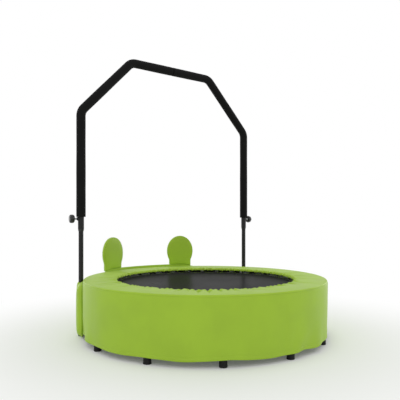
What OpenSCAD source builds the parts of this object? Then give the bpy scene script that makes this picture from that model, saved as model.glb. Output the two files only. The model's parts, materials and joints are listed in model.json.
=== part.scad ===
/* [Frame] */
// Outer radius of the fabric cover
cover_r = 510; // [490:1:540]
// Height of the padded rim's top face above the floor
rim_h = 239; // [225:1:270]
// Outside diameter of the frame and leg tube
tube_d = 25; // [22:0.5:26]
// Wall of the frame and leg tube
tube_wall = 1.5; // [1:0.1:2]
// Length of each curved sleeve that joins two frame arcs, in degrees of the ring
sleeve_span = 8; // [5:0.5:8]
// Thread diameter of the studs that carry the legs
stud_d = 10; // [8:1:12]
// Length of the stud inside the leg
stud_len = 25; // [20:1:35]
// Height of the welded saddle between the frame tube and a leg
saddle_h = 6; // [4:1:10]
// Length of the threaded plug in the top of a leg
insert_len = 30; // [26:1:40]
// Outside diameter of a rubber foot cap
cap_d = 28.5; // [27.5:0.5:32]
// Height of a rubber foot cap
cap_h = 20; // [14:1:20]
// Thickness of a foot cap's floor
cap_floor = 5; // [3:1:8]

/* [Mat and springs] */
// Radius of the jumping mat
mat_r = 388; // [385:1:392]
// Thickness of the jumping mat
mat_t = 1.5; // [1:0.1:2]
// Width of the webbing sewn under the mat's edge
web_w = 14; // [10:1:20]
// Thickness of a webbing tab's wall
tab_t = 1.2; // [1:0.1:1.6]
// Width of a webbing tab
tab_w = 16; // [12:1:16]
// Wire thickness of the triangular rings
ring_bar = 3.5; // [3:0.1:4]
// Half width of a triangular ring's base
ring_half = 16; // [16:0.5:18]
// Length of a triangular ring from base to tip
ring_len = 26; // [24:1:30]
// Outside diameter of a spring's coils
spring_d = 16; // [12:1:18]
// Wire diameter of a spring
wire_d = 3; // [2:0.1:3.2]

/* [Cover] */
// Radius of the round opening in the cover
opening_r = 373; // [360:1:375]
// Thickness of the cover fabric with its lining
fabric_t = 1.6; // [1:0.1:2]
// Thickness of the foam under the cover's top
foam_t = 8; // [6:1:12]
// Height of the skirt's hem above the floor
hem_z = 22; // [21:1:40]
// How far the skirt's folds swing out at the hem
fold_out = 4; // [0:0.5:6]
// Height of the skirt's folds above the hem
fold_h = 90; // [40:5:110]
// Rounding of the cover's top towards the opening
lip_r = 10; // [7:0.5:12]
// Diameter of the elastic in the opening's hem
elastic_d = 3; // [2:0.5:4]

/* [Ears] */
// Angle of each ear from the middle of the back
ear_turn = 22.4; // [18:0.2:26]
// Half width of an ear's head
ear_half = 67.5; // [62:0.5:75]
// Half width of an ear at its foot
ear_neck = 60; // [40:1:61]
// Height of an ear's top above the floor
ear_top = 400; // [380:1:430]
// Height of an ear's head above its widest part
ear_rise = 79; // [60:1:90]
// Height over which an ear would close below its widest part
ear_fall = 85; // [76:1:110]
// Thickness of an ear
ear_t = 20; // [14:1:22]
// How far an ear's faces are rounded down to its seam
ear_round = 3.5; // [2:0.5:5]
// Height of the padded band that carries the ears
band_top = 249; // [241:1:255]
// Depth of the padded band
band_h = 84; // [60:1:100]
// Thickness of the padded band
band_t = 12; // [10:1:14]
// Half of the angle that the padded band spans
band_span = 30; // [28:1:34]
// Width of the flat stay inside an ear
stay_w = 30; // [20:1:40]
// Thickness of the flat stay inside an ear
stay_t = 3; // [2:0.5:4]
// How far the stay ends below an ear's top
stay_drop = 40; // [30:1:60]

/* [Handle posts] */
// Outside diameter of a lower post
post_d = 20; // [18:0.5:21]
// Wall of a lower post
post_wall = 1.5; // [1:0.1:2]
// Height of a lower post's top above the floor
post_top = 760; // [700:5:800]
// Space between a leg and its lower post
post_gap = 4.2; // [4:0.1:8]
// Height of the lower fixing bolts above the floor
low_bolt_z = 100; // [60:1:140]
// Diameter of the fixing bolts
bolt_d = 8; // [6:1:8]
// Height of a side pad's lower end above the floor
pad_z = 8; // [7:1:20]
// Height of a side pad's upper end above the floor
pad_top = 232; // [200:1:236]
// Width of a side pad
pad_w = 140; // [110:1:150]
// How far a side pad's crown stands out past the post's axis
pad_crown = 19; // [15:0.5:24]

/* [Handle] */
// Outside diameter of the handle tube
upper_d = 25; // [24:0.5:28]
// Height of the guide bush's lower end
bush_z = 437; // [380:1:460]
// Height of the guide bush's tapered flange
flange_h = 9; // [5:1:14]
// Length of the guide bush inside the handle tube
bush_len = 30; // [20:1:38]
// Height of the clamp screws above the floor
knob_z = 488.5; // [478:0.5:520]
// Angle of the clamp screws behind the handle's own plane
knob_yaw = 8; // [0:1:30]
// Height of the top bar's centre line
bar_z = 1186.5; // [1140:0.5:1240]
// Half length of the top bar between its corners
bar_half = 215; // [180:1:250]
// Bend radius of the handle tube
bend_r = 50; // [40:1:70]
// Outside diameter of the foam grip
grip_d = 38; // [34:0.5:44]
// Space between the two foam grips on the top bar
grip_gap = 4; // [2:0.5:10]
// Length of the sleeve that joins the two handle halves
joiner_len = 120; // [80:5:180]
// Diameter of a clamp screw
screw_d = 8; // [6:1:10]
// Diameter of a clamp knob
knob_d = 34.6; // [28:0.2:40]
// Thickness of a clamp knob
knob_t = 19.4; // [14:0.2:22]
// Distance from the post's axis to a knob's inner face
knob_out = 28.5; // [26:0.5:40]

/* [Fits] */
// Radial clearance of the sliding handle tube and its screws
slide_fit = 0.05; // [0.02:0.01:0.1]
// Clearance of plugs and sleeves that are pushed or glued in
plug_fit = 0.05; // [0.02:0.01:0.1]
// Clearance between soft pieces and what they rest on
seat_gap = 0.3; // [0.2:0.05:0.4]

/* [Hidden] */
$fn = 64;

green = [0.55, 0.72, 0.22];
black = [0.13, 0.13, 0.13];
foam_black = [0.08, 0.08, 0.08];
mat_black = [0.2, 0.2, 0.2];
bright = [0.75, 0.76, 0.78];

// The ring tube lies under the cover's top and inside its skirt.
skirt_gap = seat_gap + 0.1;
frame_r = cover_r - fabric_t - skirt_gap - tube_d / 2;
frame_z = rim_h - fabric_t - 2 * seat_gap - foam_t - tube_d / 2;
tube_r = tube_d / 2;
leg_count = 12;
leg_step = 360 / leg_count;
leg_top = frame_z - tube_r - saddle_h;
first_arc = 310;
arc_angle = 90;
arc_gap = 0.02;

// Springs sit between the legs, all at the height of the ring's centre line.
spring_count = 36;
spring_step = 360 / spring_count;
spring_first = spring_step / 2;
slot_h = ring_bar + 2 * seat_gap;
web_t = slot_h - mat_t;
bar_r = mat_r + 1;
slot_end = bar_r + ring_bar - seat_gap;
tip_half = wire_d / 2 + 1.7;
side_slope = (ring_half - tip_half) / ring_len;
side_bar = ring_bar * sqrt(1 + side_slope * side_slope);
tip_r = bar_r + ring_len;
hook_r = wire_d / 2 + 4;
hook_at = tip_r - ring_bar + hook_r - wire_d / 2 - 0.7;
coil_start = hook_at + hook_r + wire_d / 2 - 1;
coil_end = frame_r - tube_r - 7;
hook_in = 7;
hook_hole = wire_d + 1;

// Lower posts stand outside the skirt, beside the legs at the two sides.
post_angle = leg_step;
post_r = post_d / 2;
post_at = frame_r + tube_r + post_gap + post_r;
post_x = post_at * cos(post_angle);
post_y = post_at * sin(post_angle);
post_foot = 6;
plug_len = 20;
nut_t = 6.5;
nut_af = 13;
spacer_d = bolt_d + 6;
bolt_zs = [frame_z, low_bolt_z];
bolt_head_d = bolt_d * 2;
bolt_head_t = 5;
bolt_fit = 0.2;
guide_len = 20;

// The handle tube slides over the posts.
upper_r = upper_d / 2;
upper_in = post_r + 0.5;
tube_z = bush_z + flange_h;
lean = 43.8;
bend_z = bar_z - (post_x - bar_half) / tan(lean);
bend_tangent = bend_r * tan(lean / 2);
corner_tangent = bend_r * tan((90 - lean) / 2);
lean_len = (post_x - bar_half) / sin(lean) - bend_tangent - corner_tangent;
bend_swell = 0.06;
bend_lap = 0.3;
grip_r = grip_d / 2;
grip_z = knob_z + 8;
boss_in = 8;
boss_out = 18.5;
boss_root = 11.5;
boss_tip = screw_d / 2 + 1;
screw_hold = 9;
knob_scallops = 8;
scallop_r = 5.2;
scallop_depth = 1.4;

// Ears and side pads.
ear_mid = ear_top - ear_rise;
ear_r = cover_r + seat_gap + band_t / 2;
pad_half = pad_w / 2;
pad_inner = skirt_gap - post_r;

// Point of the frame ring's plan at an angle.
module at_ring(a, r, z) {
    rotate([0, 0, a]) translate([r, 0, z]) children();
}

// Cylinder along the local X axis from x0 to x1.
module rod(r, x0, x1) {
    translate([x0, 0, 0]) rotate([0, 90, 0]) cylinder(r = r, h = x1 - x0);
}

module ring_tube(r, a0, span) {
    rotate([0, 0, a0]) rotate_extrude(angle = span, $fn = 128) translate([frame_r, 0]) circle(r = r);
}

// One quarter of the ring tube, with its spring holes and, at the sides, a bolt hole.
module frame_arc(index) {
    a0 = first_arc + arc_angle * index;
    color(black) translate([0, 0, frame_z]) difference() {
        ring_tube(tube_r, a0 + arc_gap, arc_angle - 2 * arc_gap);
        ring_tube(tube_r - tube_wall, a0 - 1, arc_angle + 2);
        for (k = [0:spring_count - 1]) {
            a = spring_first + spring_step * k;
            if ((a - a0 + 720) % 360 < arc_angle)
                at_ring(a, 0, 0) rod(hook_hole / 2, frame_r - tube_r - 2, frame_r);
        }
        for (a = [post_angle, 180 - post_angle])
            if ((a - a0 + 720) % 360 < arc_angle)
                at_ring(a, 0, 0) rod(bolt_d / 2 + bolt_fit, frame_r - tube_r - 2, frame_r + tube_r + 2);
    }
}

module arc_joiners() {
    color(bright) translate([0, 0, frame_z]) for (i = [0:3]) {
        a0 = first_arc + arc_angle * i - sleeve_span / 2;
        difference() {
            ring_tube(tube_r - tube_wall - plug_fit, a0, sleeve_span);
            ring_tube(tube_r - 2 * tube_wall, a0 - 1, sleeve_span + 2);
        }
    }
}

module leg_studs() {
    color(black) for (i = [0:leg_count - 1]) difference() {
        at_ring(i * leg_step, frame_r, 0) {
            translate([0, 0, leg_top]) cylinder(r = tube_r - 0.5, h = saddle_h + 5);
            translate([0, 0, leg_top - stud_len]) cylinder(d = stud_d, h = stud_len + 1);
        }
        translate([0, 0, frame_z]) rotate_extrude($fn = 128)
            translate([frame_r, 0]) circle(r = tube_r + plug_fit);
    }
}

module leg_inserts() {
    color(black) for (i = [0:leg_count - 1]) at_ring(i * leg_step, frame_r, leg_top - insert_len)
        difference() {
            cylinder(r = tube_r - tube_wall - plug_fit, h = insert_len - 0.5);
            translate([0, 0, -1]) cylinder(d = stud_d + 2 * plug_fit, h = insert_len + 2);
        }
}

module leg(index) {
    a = (index - 1) * leg_step;
    color(black) at_ring(a, frame_r, 0) difference() {
        translate([0, 0, cap_floor]) cylinder(r = tube_r, h = leg_top - cap_floor);
        translate([0, 0, cap_floor - 1]) cylinder(r = tube_r - tube_wall, h = leg_top + 2);
        if (a == post_angle || a == 180 - post_angle)
            translate([0, 0, low_bolt_z]) rod(bolt_d / 2 + bolt_fit, -tube_r - 2, tube_r + 2);
    }
}

module leg_caps() {
    color(foam_black) for (i = [0:leg_count - 1]) at_ring(i * leg_step, frame_r, 0) difference() {
        union() {
            translate([0, 0, 1.5]) cylinder(d = cap_d, h = cap_h - 1.5);
            cylinder(d1 = cap_d - 2, d2 = cap_d, h = 1.5);
        }
        translate([0, 0, cap_floor]) cylinder(r = tube_r + plug_fit, h = cap_h);
    }
}

// A tension spring's outer shape: two hooks and the wound body between them.
module springs() {
    color(bright) for (k = [0:spring_count - 1]) at_ring(spring_first + spring_step * k, 0, frame_z) {
        rod(spring_d / 2, coil_start, coil_end);
        rod(wire_d / 2, coil_end - 1, frame_r - tube_r + hook_in);
        translate([hook_at, 0, 0]) rotate([90, 0, 0]) rotate_extrude($fn = 32)
            translate([hook_r, 0]) circle(d = wire_d, $fn = 24);
    }
}

// Outline of a triangular ring, or of the space inside it when inset by the wire's thickness.
module v_ring_outline(inset) {
    base = bar_r + inset;
    tip = tip_r - inset;
    slip = inset > 0 ? side_bar : 0;
    base_half = ring_half - slip - side_slope * inset;
    end_half = max(0.4, tip_half - slip + side_slope * inset);
    polygon([[base, -base_half], [tip, -end_half], [tip, end_half], [base, base_half]]);
}

module v_rings() {
    color(bright) for (k = [0:spring_count - 1])
        at_ring(spring_first + spring_step * k, 0, frame_z - ring_bar / 2)
            linear_extrude(ring_bar) difference() {
                v_ring_outline(0);
                v_ring_outline(ring_bar);
            }
}

// Webbing folded round a triangular ring's base and over both faces of the mat's edge.
module mat_tabs() {
    tab_start = mat_r - web_w;
    tab_h = slot_h + 2 * tab_t;
    color(foam_black) for (k = [0:spring_count - 1]) at_ring(spring_first + spring_step * k, 0, frame_z)
        rotate([90, 0, 0]) translate([0, 0, -tab_w / 2]) linear_extrude(tab_w) difference() {
            union() {
                translate([tab_start, -tab_h / 2]) square([slot_end - tab_start, tab_h]);
                translate([slot_end, 0]) circle(d = tab_h);
            }
            translate([tab_start - 1, -slot_h / 2]) square([slot_end - tab_start + 1, slot_h]);
            translate([slot_end, 0]) circle(d = slot_h);
        }
}

module mat_webbing() {
    color(black) translate([0, 0, frame_z - slot_h / 2]) difference() {
        cylinder(r = mat_r, h = web_t, $fn = 180);
        translate([0, 0, -1]) cylinder(r = mat_r - web_w, h = web_t + 2, $fn = 180);
    }
}

module jumping_mat() {
    color(mat_black) translate([0, 0, frame_z + slot_h / 2 - mat_t])
        cylinder(r = mat_r, h = mat_t, $fn = 180);
}

module foam_ring() {
    color("white") translate([0, 0, frame_z + tube_r + seat_gap]) difference() {
        cylinder(r = frame_r + tube_r - 1, h = foam_t, $fn = 180);
        translate([0, 0, -1]) cylinder(r = opening_r + lip_r + 1, h = foam_t + 2, $fn = 180);
    }
}

module cover_top() {
    lip_at = opening_r + lip_r;
    under = rim_h - fabric_t;
    hem_low = rim_h - lip_r - 1.5;
    color(green) rotate_extrude($fn = 180) {
        translate([lip_at, under]) square([cover_r - lip_at, fabric_t]);
        intersection() {
            translate([lip_at, rim_h - lip_r]) difference() {
                circle(r = lip_r);
                circle(r = lip_r - fabric_t);
            }
            translate([opening_r, rim_h - lip_r]) square([lip_r, lip_r]);
        }
        translate([opening_r, hem_low]) square([fabric_t, rim_h - lip_r - hem_low]);
    }
}

module hem_elastic() {
    color(foam_black) translate([0, 0, rim_h - lip_r + 1]) rotate_extrude($fn = 180)
        translate([opening_r + fabric_t + 0.1 + elastic_d / 2, 0]) circle(d = elastic_d, $fn = 24);
}

// The skirt hangs straight and swings out in soft folds at its hem, except beside the posts.
skirt_cols = 120;
skirt_rows = [1, 0.62, 0.25, 0];
function near_post(a) = min(abs(a - post_angle), abs(a - 180 + post_angle));
function fold_free(a) = min(1, max(0, (near_post(a) - 12) / 10));
function fold_wave(a) = 0.5 + 0.35 * cos(a * 12) + 0.15 * cos(a * 30);
function fold_at(a, t) = fold_out * fold_free(a) * fold_wave(a) * (1 - t) * (1 - t);
function hem_wave(a, t) = (1 - t) * fold_free(a) * (1.2 - 1.2 * cos(a * 12));
function skirt_point(a, t, r) = [(r + fold_at(a, t)) * cos(a), (r + fold_at(a, t)) * sin(a),
    hem_z + t * fold_h + hem_wave(a, t)];
function skirt_ring(t, r) = [for (i = [0:skirt_cols - 1]) skirt_point(i * 360 / skirt_cols, t, r)];
function skirt_top_ring(r) = [for (i = [0:skirt_cols - 1])
    [r * cos(i * 360 / skirt_cols), r * sin(i * 360 / skirt_cols), rim_h - fabric_t]];
function flat_list(list) = [for (part = list) for (p = part) p];
function band_faces(a, b, n) = [for (i = [0:n - 1]) for (f = [
    [a * n + i, a * n + (i + 1) % n, b * n + i],
    [a * n + (i + 1) % n, b * n + (i + 1) % n, b * n + i]]) f];

module cover_skirt() {
    inner = cover_r - fabric_t;
    outer_rings = concat([skirt_top_ring(cover_r)], [for (t = skirt_rows) skirt_ring(t, cover_r)]);
    inner_rings = concat([skirt_top_ring(inner)], [for (t = skirt_rows) skirt_ring(t, inner)]);
    count = len(outer_rings);
    points = flat_list(concat(outer_rings, [for (i = [count - 1:-1:0]) inner_rings[i]]));
    faces = flat_list([for (i = [0:2 * count - 1]) band_faces(i, (i + 1) % (2 * count), skirt_cols)]);
    color(green) difference() {
        polyhedron(points = points, faces = faces);
        for (a = [post_angle, 180 - post_angle]) for (z = bolt_zs)
            at_ring(a, 0, z) rod(spacer_d / 2 + seat_gap, cover_r - 10, cover_r + 10);
    }
}

// Soft solid from rings of one outline: each ring is [scale, offset along the thickness].
function ring_of(outline, centre, ring) = [for (p = outline)
    [centre[0] + (p[0] - centre[0]) * ring[0], ring[1], centre[1] + (p[1] - centre[1]) * ring[0]]];
module soft_form(outline, centre, rings) {
    n = len(outline);
    m = len(rings);
    points = concat(flat_list([for (r = rings) ring_of(outline, centre, r)]),
        [[centre[0], rings[0][1], centre[1]], [centre[0], rings[m - 1][1], centre[1]]]);
    caps = [for (i = [0:n - 1]) for (f = [
        [n * m, (i + 1) % n, i],
        [n * m + 1, (m - 1) * n + i, (m - 1) * n + (i + 1) % n]]) f];
    faces = concat(flat_list([for (i = [0:m - 2]) band_faces(i, i + 1, n)]), caps);
    polyhedron(points = points, faces = faces);
}

// Paddle outline of an ear in its own plane: a round head that narrows to the foot.
ear_head_points = 30;
ear_from = -acos(ear_neck / ear_half);
ear_outline = concat(
    [[-ear_neck, band_top + seat_gap], [0, band_top + seat_gap], [ear_neck, band_top + seat_gap]],
    [for (i = [0:ear_head_points]) let (a = ear_from + (180 - 2 * ear_from) * i / ear_head_points)
        [ear_half * cos(a), ear_mid + (a < 0 || a > 180 ? ear_fall : ear_rise) * sin(a)]]);

// The ear's edge rounds over: how far each ring is drawn in, and how deep it lies under the face.
ear_edge = [[0.5, 0], [0.85, ear_round / 6], [0.97, ear_round / 1.75], [1, ear_round]];

module at_ear(side) {
    rotate([0, 0, side * ear_turn]) translate([0, ear_r, 0]) children();
}

module ear(side) {
    half = ear_t / 2;
    rings = concat([for (e = ear_edge) [e[0], e[1] - half]],
        [for (i = [len(ear_edge) - 1:-1:0]) [ear_edge[i][0], half - ear_edge[i][1]]]);
    color(green) at_ear(side) difference() {
        soft_form(ear_outline, [0, ear_mid], rings);
        stay_slot();
    }
}

stay_z = band_top - band_h + 10;
stay_top = ear_top - stay_drop;
module stay_slot() {
    translate([-stay_w / 2 - seat_gap, -stay_t / 2 - seat_gap, stay_z - seat_gap])
        cube([stay_w + 2 * seat_gap, stay_t + 2 * seat_gap, stay_top - stay_z + 2 * seat_gap]);
}

module ear_stays() {
    color("white") for (side = [-1, 1]) at_ear(side)
        translate([-stay_w / 2, -stay_t / 2, stay_z]) cube([stay_w, stay_t, stay_top - stay_z]);
}

module ear_band() {
    round_r = band_t / 2 - 1;
    low = band_top - band_h;
    color(green) difference() {
        rotate([0, 0, 90 - band_span]) rotate_extrude(angle = 2 * band_span, $fn = 180)
            translate([cover_r + seat_gap, 0]) {
                translate([0, low + round_r]) square([band_t, band_h - 2 * round_r]);
                translate([round_r, low]) square([band_t - 2 * round_r, band_h]);
                for (x = [round_r, band_t - round_r]) for (z = [low + round_r, band_top - round_r])
                    translate([x, z]) circle(r = round_r);
            }
        for (side = [-1, 1]) at_ear(side) stay_slot();
    }
}

// Rounded outline of a side pad in its own plane.
pad_corner = 45;
pad_corner_points = 7;
pad_mid = (pad_z + pad_top) / 2;
pad_outline = flat_list([for (q = [0:3]) [for (i = [0:pad_corner_points - 1])
    let (a = q * 90 + 90 * i / (pad_corner_points - 1),
        sx = (q == 0 || q == 3) ? 1 : -1,
        sz = q < 2 ? 1 : -1)
    [sx * (pad_half - pad_corner) + pad_corner * cos(a),
        pad_mid + sz * ((pad_top - pad_z) / 2 - pad_corner) + pad_corner * sin(a)]]]);

// Pillow sleeve round a post: flat towards the skirt, crowned outwards.
module side_pad(side) {
    seam = pad_inner + 3;
    color(green) rotate([0, 0, -side * (90 - post_angle)]) translate([0, post_at, 0]) difference() {
        union() {
            soft_form(pad_outline, [0, pad_mid], [[0.9, pad_inner], [0.98, pad_inner + 1], [1, seam],
                [0.97, seam + 8], [0.86, pad_crown - 6], [0.62, pad_crown - 1.5], [0.3, pad_crown]]);
            translate([0, 0, pad_z]) cylinder(r = post_r + 1.8, h = pad_top - pad_z);
        }
        translate([0, 0, pad_z - 1]) cylinder(r = post_r + seat_gap, h = pad_top - pad_z + 2);
        for (z = bolt_zs) translate([0, 0, z]) rotate([90, 0, 0])
            cylinder(d = spacer_d + 2 * seat_gap, h = post_r + post_gap + 10);
    }
}

module at_post(side) {
    translate([side * post_x, post_y, 0]) rotate([0, 0, side > 0 ? post_angle : 180 - post_angle]) children();
}

module post(side) {
    color(black) at_post(side) difference() {
        translate([0, 0, post_foot]) cylinder(r = post_r, h = post_top - post_foot);
        translate([0, 0, post_foot - 1]) cylinder(r = post_r - post_wall, h = post_top + 2);
        for (z = bolt_zs) translate([0, 0, z]) rod(bolt_d / 2 + bolt_fit, -post_r - 2, 0);
    }
}

module post_caps() {
    color(foam_black) for (side = [-1, 1]) at_post(side) {
        cylinder(r = post_r + 1.5, h = post_foot);
        cylinder(r = post_r - post_wall - plug_fit, h = post_foot + plug_len);
    }
}

module post_nuts() {
    color(bright) for (side = [-1, 1]) at_post(side) for (z = bolt_zs) translate([0, 0, z])
        difference() {
            intersection() {
                rotate([0, 90, 0]) translate([0, 0, -post_r])
                    cylinder(d = nut_af / cos(30), h = nut_t + 2, $fn = 6);
                translate([0, 0, -nut_af]) cylinder(r = post_r - post_wall - plug_fit, h = 2 * nut_af);
            }
            rod(bolt_d / 2 + plug_fit, -post_r - 1, post_r);
        }
}

// Saddle-ended spacers between the posts and the frame: one at the ring, one at the leg.
module post_spacers() {
    to_frame = frame_r - post_at;
    color(foam_black) for (side = [-1, 1]) at_post(side) difference() {
        for (z = bolt_zs) translate([0, 0, z]) rod(spacer_d / 2, -post_r - post_gap - 5, -2);
        cylinder(r = post_r + plug_fit, h = post_top);
        for (z = bolt_zs) translate([0, 0, z]) rod(bolt_d / 2 + bolt_fit, -post_r - post_gap - 10, 0);
        translate([to_frame, 0, 0]) cylinder(r = tube_r + plug_fit, h = leg_top - 1);
        translate([to_frame, tube_d, frame_z]) rotate([90, 0, 0])
            cylinder(r = tube_r + 2 * plug_fit, h = 2 * tube_d);
    }
}

module post_bolts() {
    head_at = frame_r - tube_r - post_at;
    color(bright) for (side = [-1, 1]) at_post(side) for (z = bolt_zs) translate([0, 0, z]) {
        rod(bolt_d / 2, head_at - 1, -post_r + post_wall + nut_t + 3);
        rod(bolt_head_d / 2, head_at - 0.1 - bolt_head_t, head_at - 0.1);
    }
}

module post_guides() {
    color(foam_black) for (side = [-1, 1]) at_post(side) translate([0, 0, post_top]) {
        cylinder(r = upper_in - 2 * slide_fit, h = 4);
        translate([0, 0, -guide_len]) cylinder(r = post_r - post_wall - plug_fit, h = guide_len + 1);
    }
}

// Solid along the handle's right half: up the post, over the lean and in to x_end on the top bar.
// The straights reach a little way into the bends, which are a hair wider, as bent tube is.
module handle_path(r, z0, x_end) {
    rise = bend_z - bend_tangent - z0;
    translate([post_x, post_y, z0]) {
        cylinder(r = r, h = rise + bend_lap);
        translate([-bend_r, 0, rise]) {
            tube_bend(r, lean);
            rotate([0, -lean, 0]) translate([bend_r, 0, 0]) {
                translate([0, 0, -bend_lap]) cylinder(r = r, h = lean_len + 2 * bend_lap);
                translate([-bend_r, 0, lean_len]) {
                    tube_bend(r, 90 - lean);
                    rotate([0, lean - 90, 0]) translate([bend_r, 0, -bend_lap])
                        cylinder(r = r, h = bar_half - corner_tangent - x_end + bend_lap);
                }
            }
        }
    }
}

module tube_bend(r, turn) {
    rotate([90, 0, 0]) rotate_extrude(angle = turn) translate([bend_r, 0]) circle(r = r + bend_swell);
}

// What is written for the right side is mirrored for the left.
module on_side(side) {
    mirror([side < 0 ? 1 : 0, 0, 0]) children();
}

module at_screw() {
    translate([post_x, post_y, knob_z]) rotate([0, 0, knob_yaw]) children();
}

module upper_tube(side) {
    color(black) on_side(side) difference() {
        handle_path(upper_r, tube_z, 0.1);
        handle_path(upper_in, tube_z - 1, -1);
        at_screw() rod(screw_d / 2 + slide_fit, 0, upper_r + 5);
    }
}

module tube_joiner() {
    color(bright) translate([-joiner_len / 2, post_y, bar_z]) rotate([0, 90, 0]) difference() {
        cylinder(r = upper_in - plug_fit, h = joiner_len);
        translate([0, 0, -1]) cylinder(r = upper_in - 2, h = joiner_len + 2);
    }
}

module guide_bush(side) {
    color(foam_black) on_side(side) translate([post_x, post_y, bush_z]) difference() {
        union() {
            cylinder(r1 = upper_in + 0.4, r2 = upper_r, h = flange_h);
            cylinder(r = upper_in - plug_fit, h = flange_h + bush_len);
        }
        translate([0, 0, -1]) cylinder(r = post_r + slide_fit, h = flange_h + bush_len + 2);
    }
}

module foam_grip(side) {
    color(foam_black) on_side(side) difference() {
        handle_path(grip_r, grip_z, grip_gap / 2);
        handle_path(upper_r + plug_fit, grip_z - 1, grip_gap / 2 - 1);
    }
}

// Tapered nut welded to the tube, cut level under the foam grip.
module screw_boss(side) {
    color(black) on_side(side) difference() {
        at_screw() translate([boss_in, 0, 0]) rotate([0, 90, 0])
            cylinder(r1 = boss_root, r2 = boss_tip, h = boss_out - boss_in);
        translate([post_x, post_y, 0]) cylinder(r = upper_r + plug_fit, h = bend_z);
        translate([post_x - 2 * boss_out, post_y - 2 * boss_out, grip_z - seat_gap])
            cube([4 * boss_out, 4 * boss_out, boss_root * 2]);
        at_screw() rod(screw_d / 2 + slide_fit, 0, boss_out + 5);
    }
}

module clamp_screw(side) {
    color(bright) on_side(side) at_screw() rod(screw_d / 2, post_r + seat_gap, knob_out + screw_hold);
}

module knob(side) {
    mid = knob_out + knob_t / 2;
    core_r = knob_d / 2 - knob_t / 2;
    color(foam_black) on_side(side) at_screw() difference() {
        rotate([0, 90, 0]) rotate_extrude() difference() {
            union() {
                translate([0, knob_out]) square([core_r, knob_t]);
                translate([core_r, mid]) circle(d = knob_t);
            }
            translate([-knob_t, knob_out - 1]) square([knob_t, knob_t + 2]);
        }
        rod(screw_d / 2 + plug_fit, knob_out - 1, knob_out + screw_hold + 0.5);
        for (i = [0:knob_scallops - 1]) rotate([360 / knob_scallops * i, 0, 0])
            translate([0, 0, knob_d / 2 + scallop_r - scallop_depth])
                rod(scallop_r, knob_out - 1, knob_out + knob_t + 1);
    }
}

frame_arc(0);  // frame_arc_right
frame_arc(1);  // frame_arc_rear
frame_arc(2);  // frame_arc_left
frame_arc(3);  // frame_arc_front
arc_joiners();
leg_studs();
leg_inserts();
leg(1);  // leg_01
leg(2);  // leg_02
leg(3);  // leg_03
leg(4);  // leg_04
leg(5);  // leg_05
leg(6);  // leg_06
leg(7);  // leg_07
leg(8);  // leg_08
leg(9);  // leg_09
leg(10);  // leg_10
leg(11);  // leg_11
leg(12);  // leg_12
leg_caps();
springs();
v_rings();
mat_tabs();
mat_webbing();
jumping_mat();
foam_ring();
cover_top();
cover_skirt();
hem_elastic();
ear(1);  // ear_left
ear(-1);  // ear_right
ear_stays();
ear_band();
side_pad(-1);  // side_pad_left
side_pad(1);  // side_pad_right
post(-1);  // post_left
post(1);  // post_right
post_caps();
post_nuts();
post_spacers();
post_bolts();
post_guides();
upper_tube(-1);  // upper_tube_left
upper_tube(1);  // upper_tube_right
tube_joiner();
guide_bush(-1);  // guide_bush_left
guide_bush(1);  // guide_bush_right
foam_grip(-1);  // foam_grip_left
foam_grip(1);  // foam_grip_right
screw_boss(-1);  // screw_boss_left
screw_boss(1);  // screw_boss_right
clamp_screw(-1);  // clamp_screw_left
clamp_screw(1);  // clamp_screw_right
knob(-1);  // knob_left
knob(1);  // knob_right
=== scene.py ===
"""Dresses the frame of a round sprung trampoline with its cover, mat, springs, pads and grips."""

import json
import math

import bmesh
import bpy
import numpy as np
from bpy.props import FloatProperty, FloatVectorProperty, IntProperty, PointerProperty
from mathutils import Matrix, Vector


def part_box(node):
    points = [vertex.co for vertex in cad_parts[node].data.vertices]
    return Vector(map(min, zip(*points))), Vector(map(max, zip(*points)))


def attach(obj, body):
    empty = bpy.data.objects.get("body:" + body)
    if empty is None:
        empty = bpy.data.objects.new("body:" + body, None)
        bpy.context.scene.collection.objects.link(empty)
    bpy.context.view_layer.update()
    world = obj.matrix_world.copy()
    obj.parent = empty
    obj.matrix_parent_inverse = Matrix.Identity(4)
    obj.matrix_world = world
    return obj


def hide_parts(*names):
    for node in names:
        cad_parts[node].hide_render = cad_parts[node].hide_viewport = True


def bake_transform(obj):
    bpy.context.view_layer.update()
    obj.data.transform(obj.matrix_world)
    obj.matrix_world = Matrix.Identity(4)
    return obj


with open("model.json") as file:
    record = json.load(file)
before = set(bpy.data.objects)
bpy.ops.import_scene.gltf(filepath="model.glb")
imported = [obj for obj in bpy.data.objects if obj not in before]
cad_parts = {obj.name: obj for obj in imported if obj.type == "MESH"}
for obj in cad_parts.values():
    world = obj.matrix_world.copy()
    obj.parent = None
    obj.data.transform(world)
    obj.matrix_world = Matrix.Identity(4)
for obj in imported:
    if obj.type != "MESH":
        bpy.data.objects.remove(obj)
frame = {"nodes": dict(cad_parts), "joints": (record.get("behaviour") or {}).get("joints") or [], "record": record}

bl_info = {
    "name": "Sprung Trampoline",
    "version": (1, 0, 0),
    "blender": (4, 5, 0),
    "location": "3D View > Sidebar > Trampoline",
    "description": "Dresses the frame of a round trampoline with its cover, mat, springs, pads and grips",
    "category": "Add Mesh",
}

MM = 0.001

# Sizes in metres, from the frame where it has them.
COVER_LOW, COVER_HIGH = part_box("cover_top")
COVER_R = COVER_HIGH.x
RIM_TOP = COVER_HIGH.z
LIP_BOTTOM = COVER_LOW.z
SKIRT_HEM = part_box("cover_skirt")[0].z
ELASTIC_LOW, ELASTIC_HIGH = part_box("hem_elastic")
ELASTIC_D = ELASTIC_HIGH.z - ELASTIC_LOW.z
CLOTH_T = 1.6 * MM
ELASTIC_PLAY = 0.1 * MM
# How far the opening's edge stands outside the frame's own.
EDGE_EASE = 3 * MM
OPENING_R = ELASTIC_HIGH.x - ELASTIC_PLAY - ELASTIC_D - CLOTH_T + EDGE_EASE
TOP_BAND = COVER_R - OPENING_R
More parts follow.
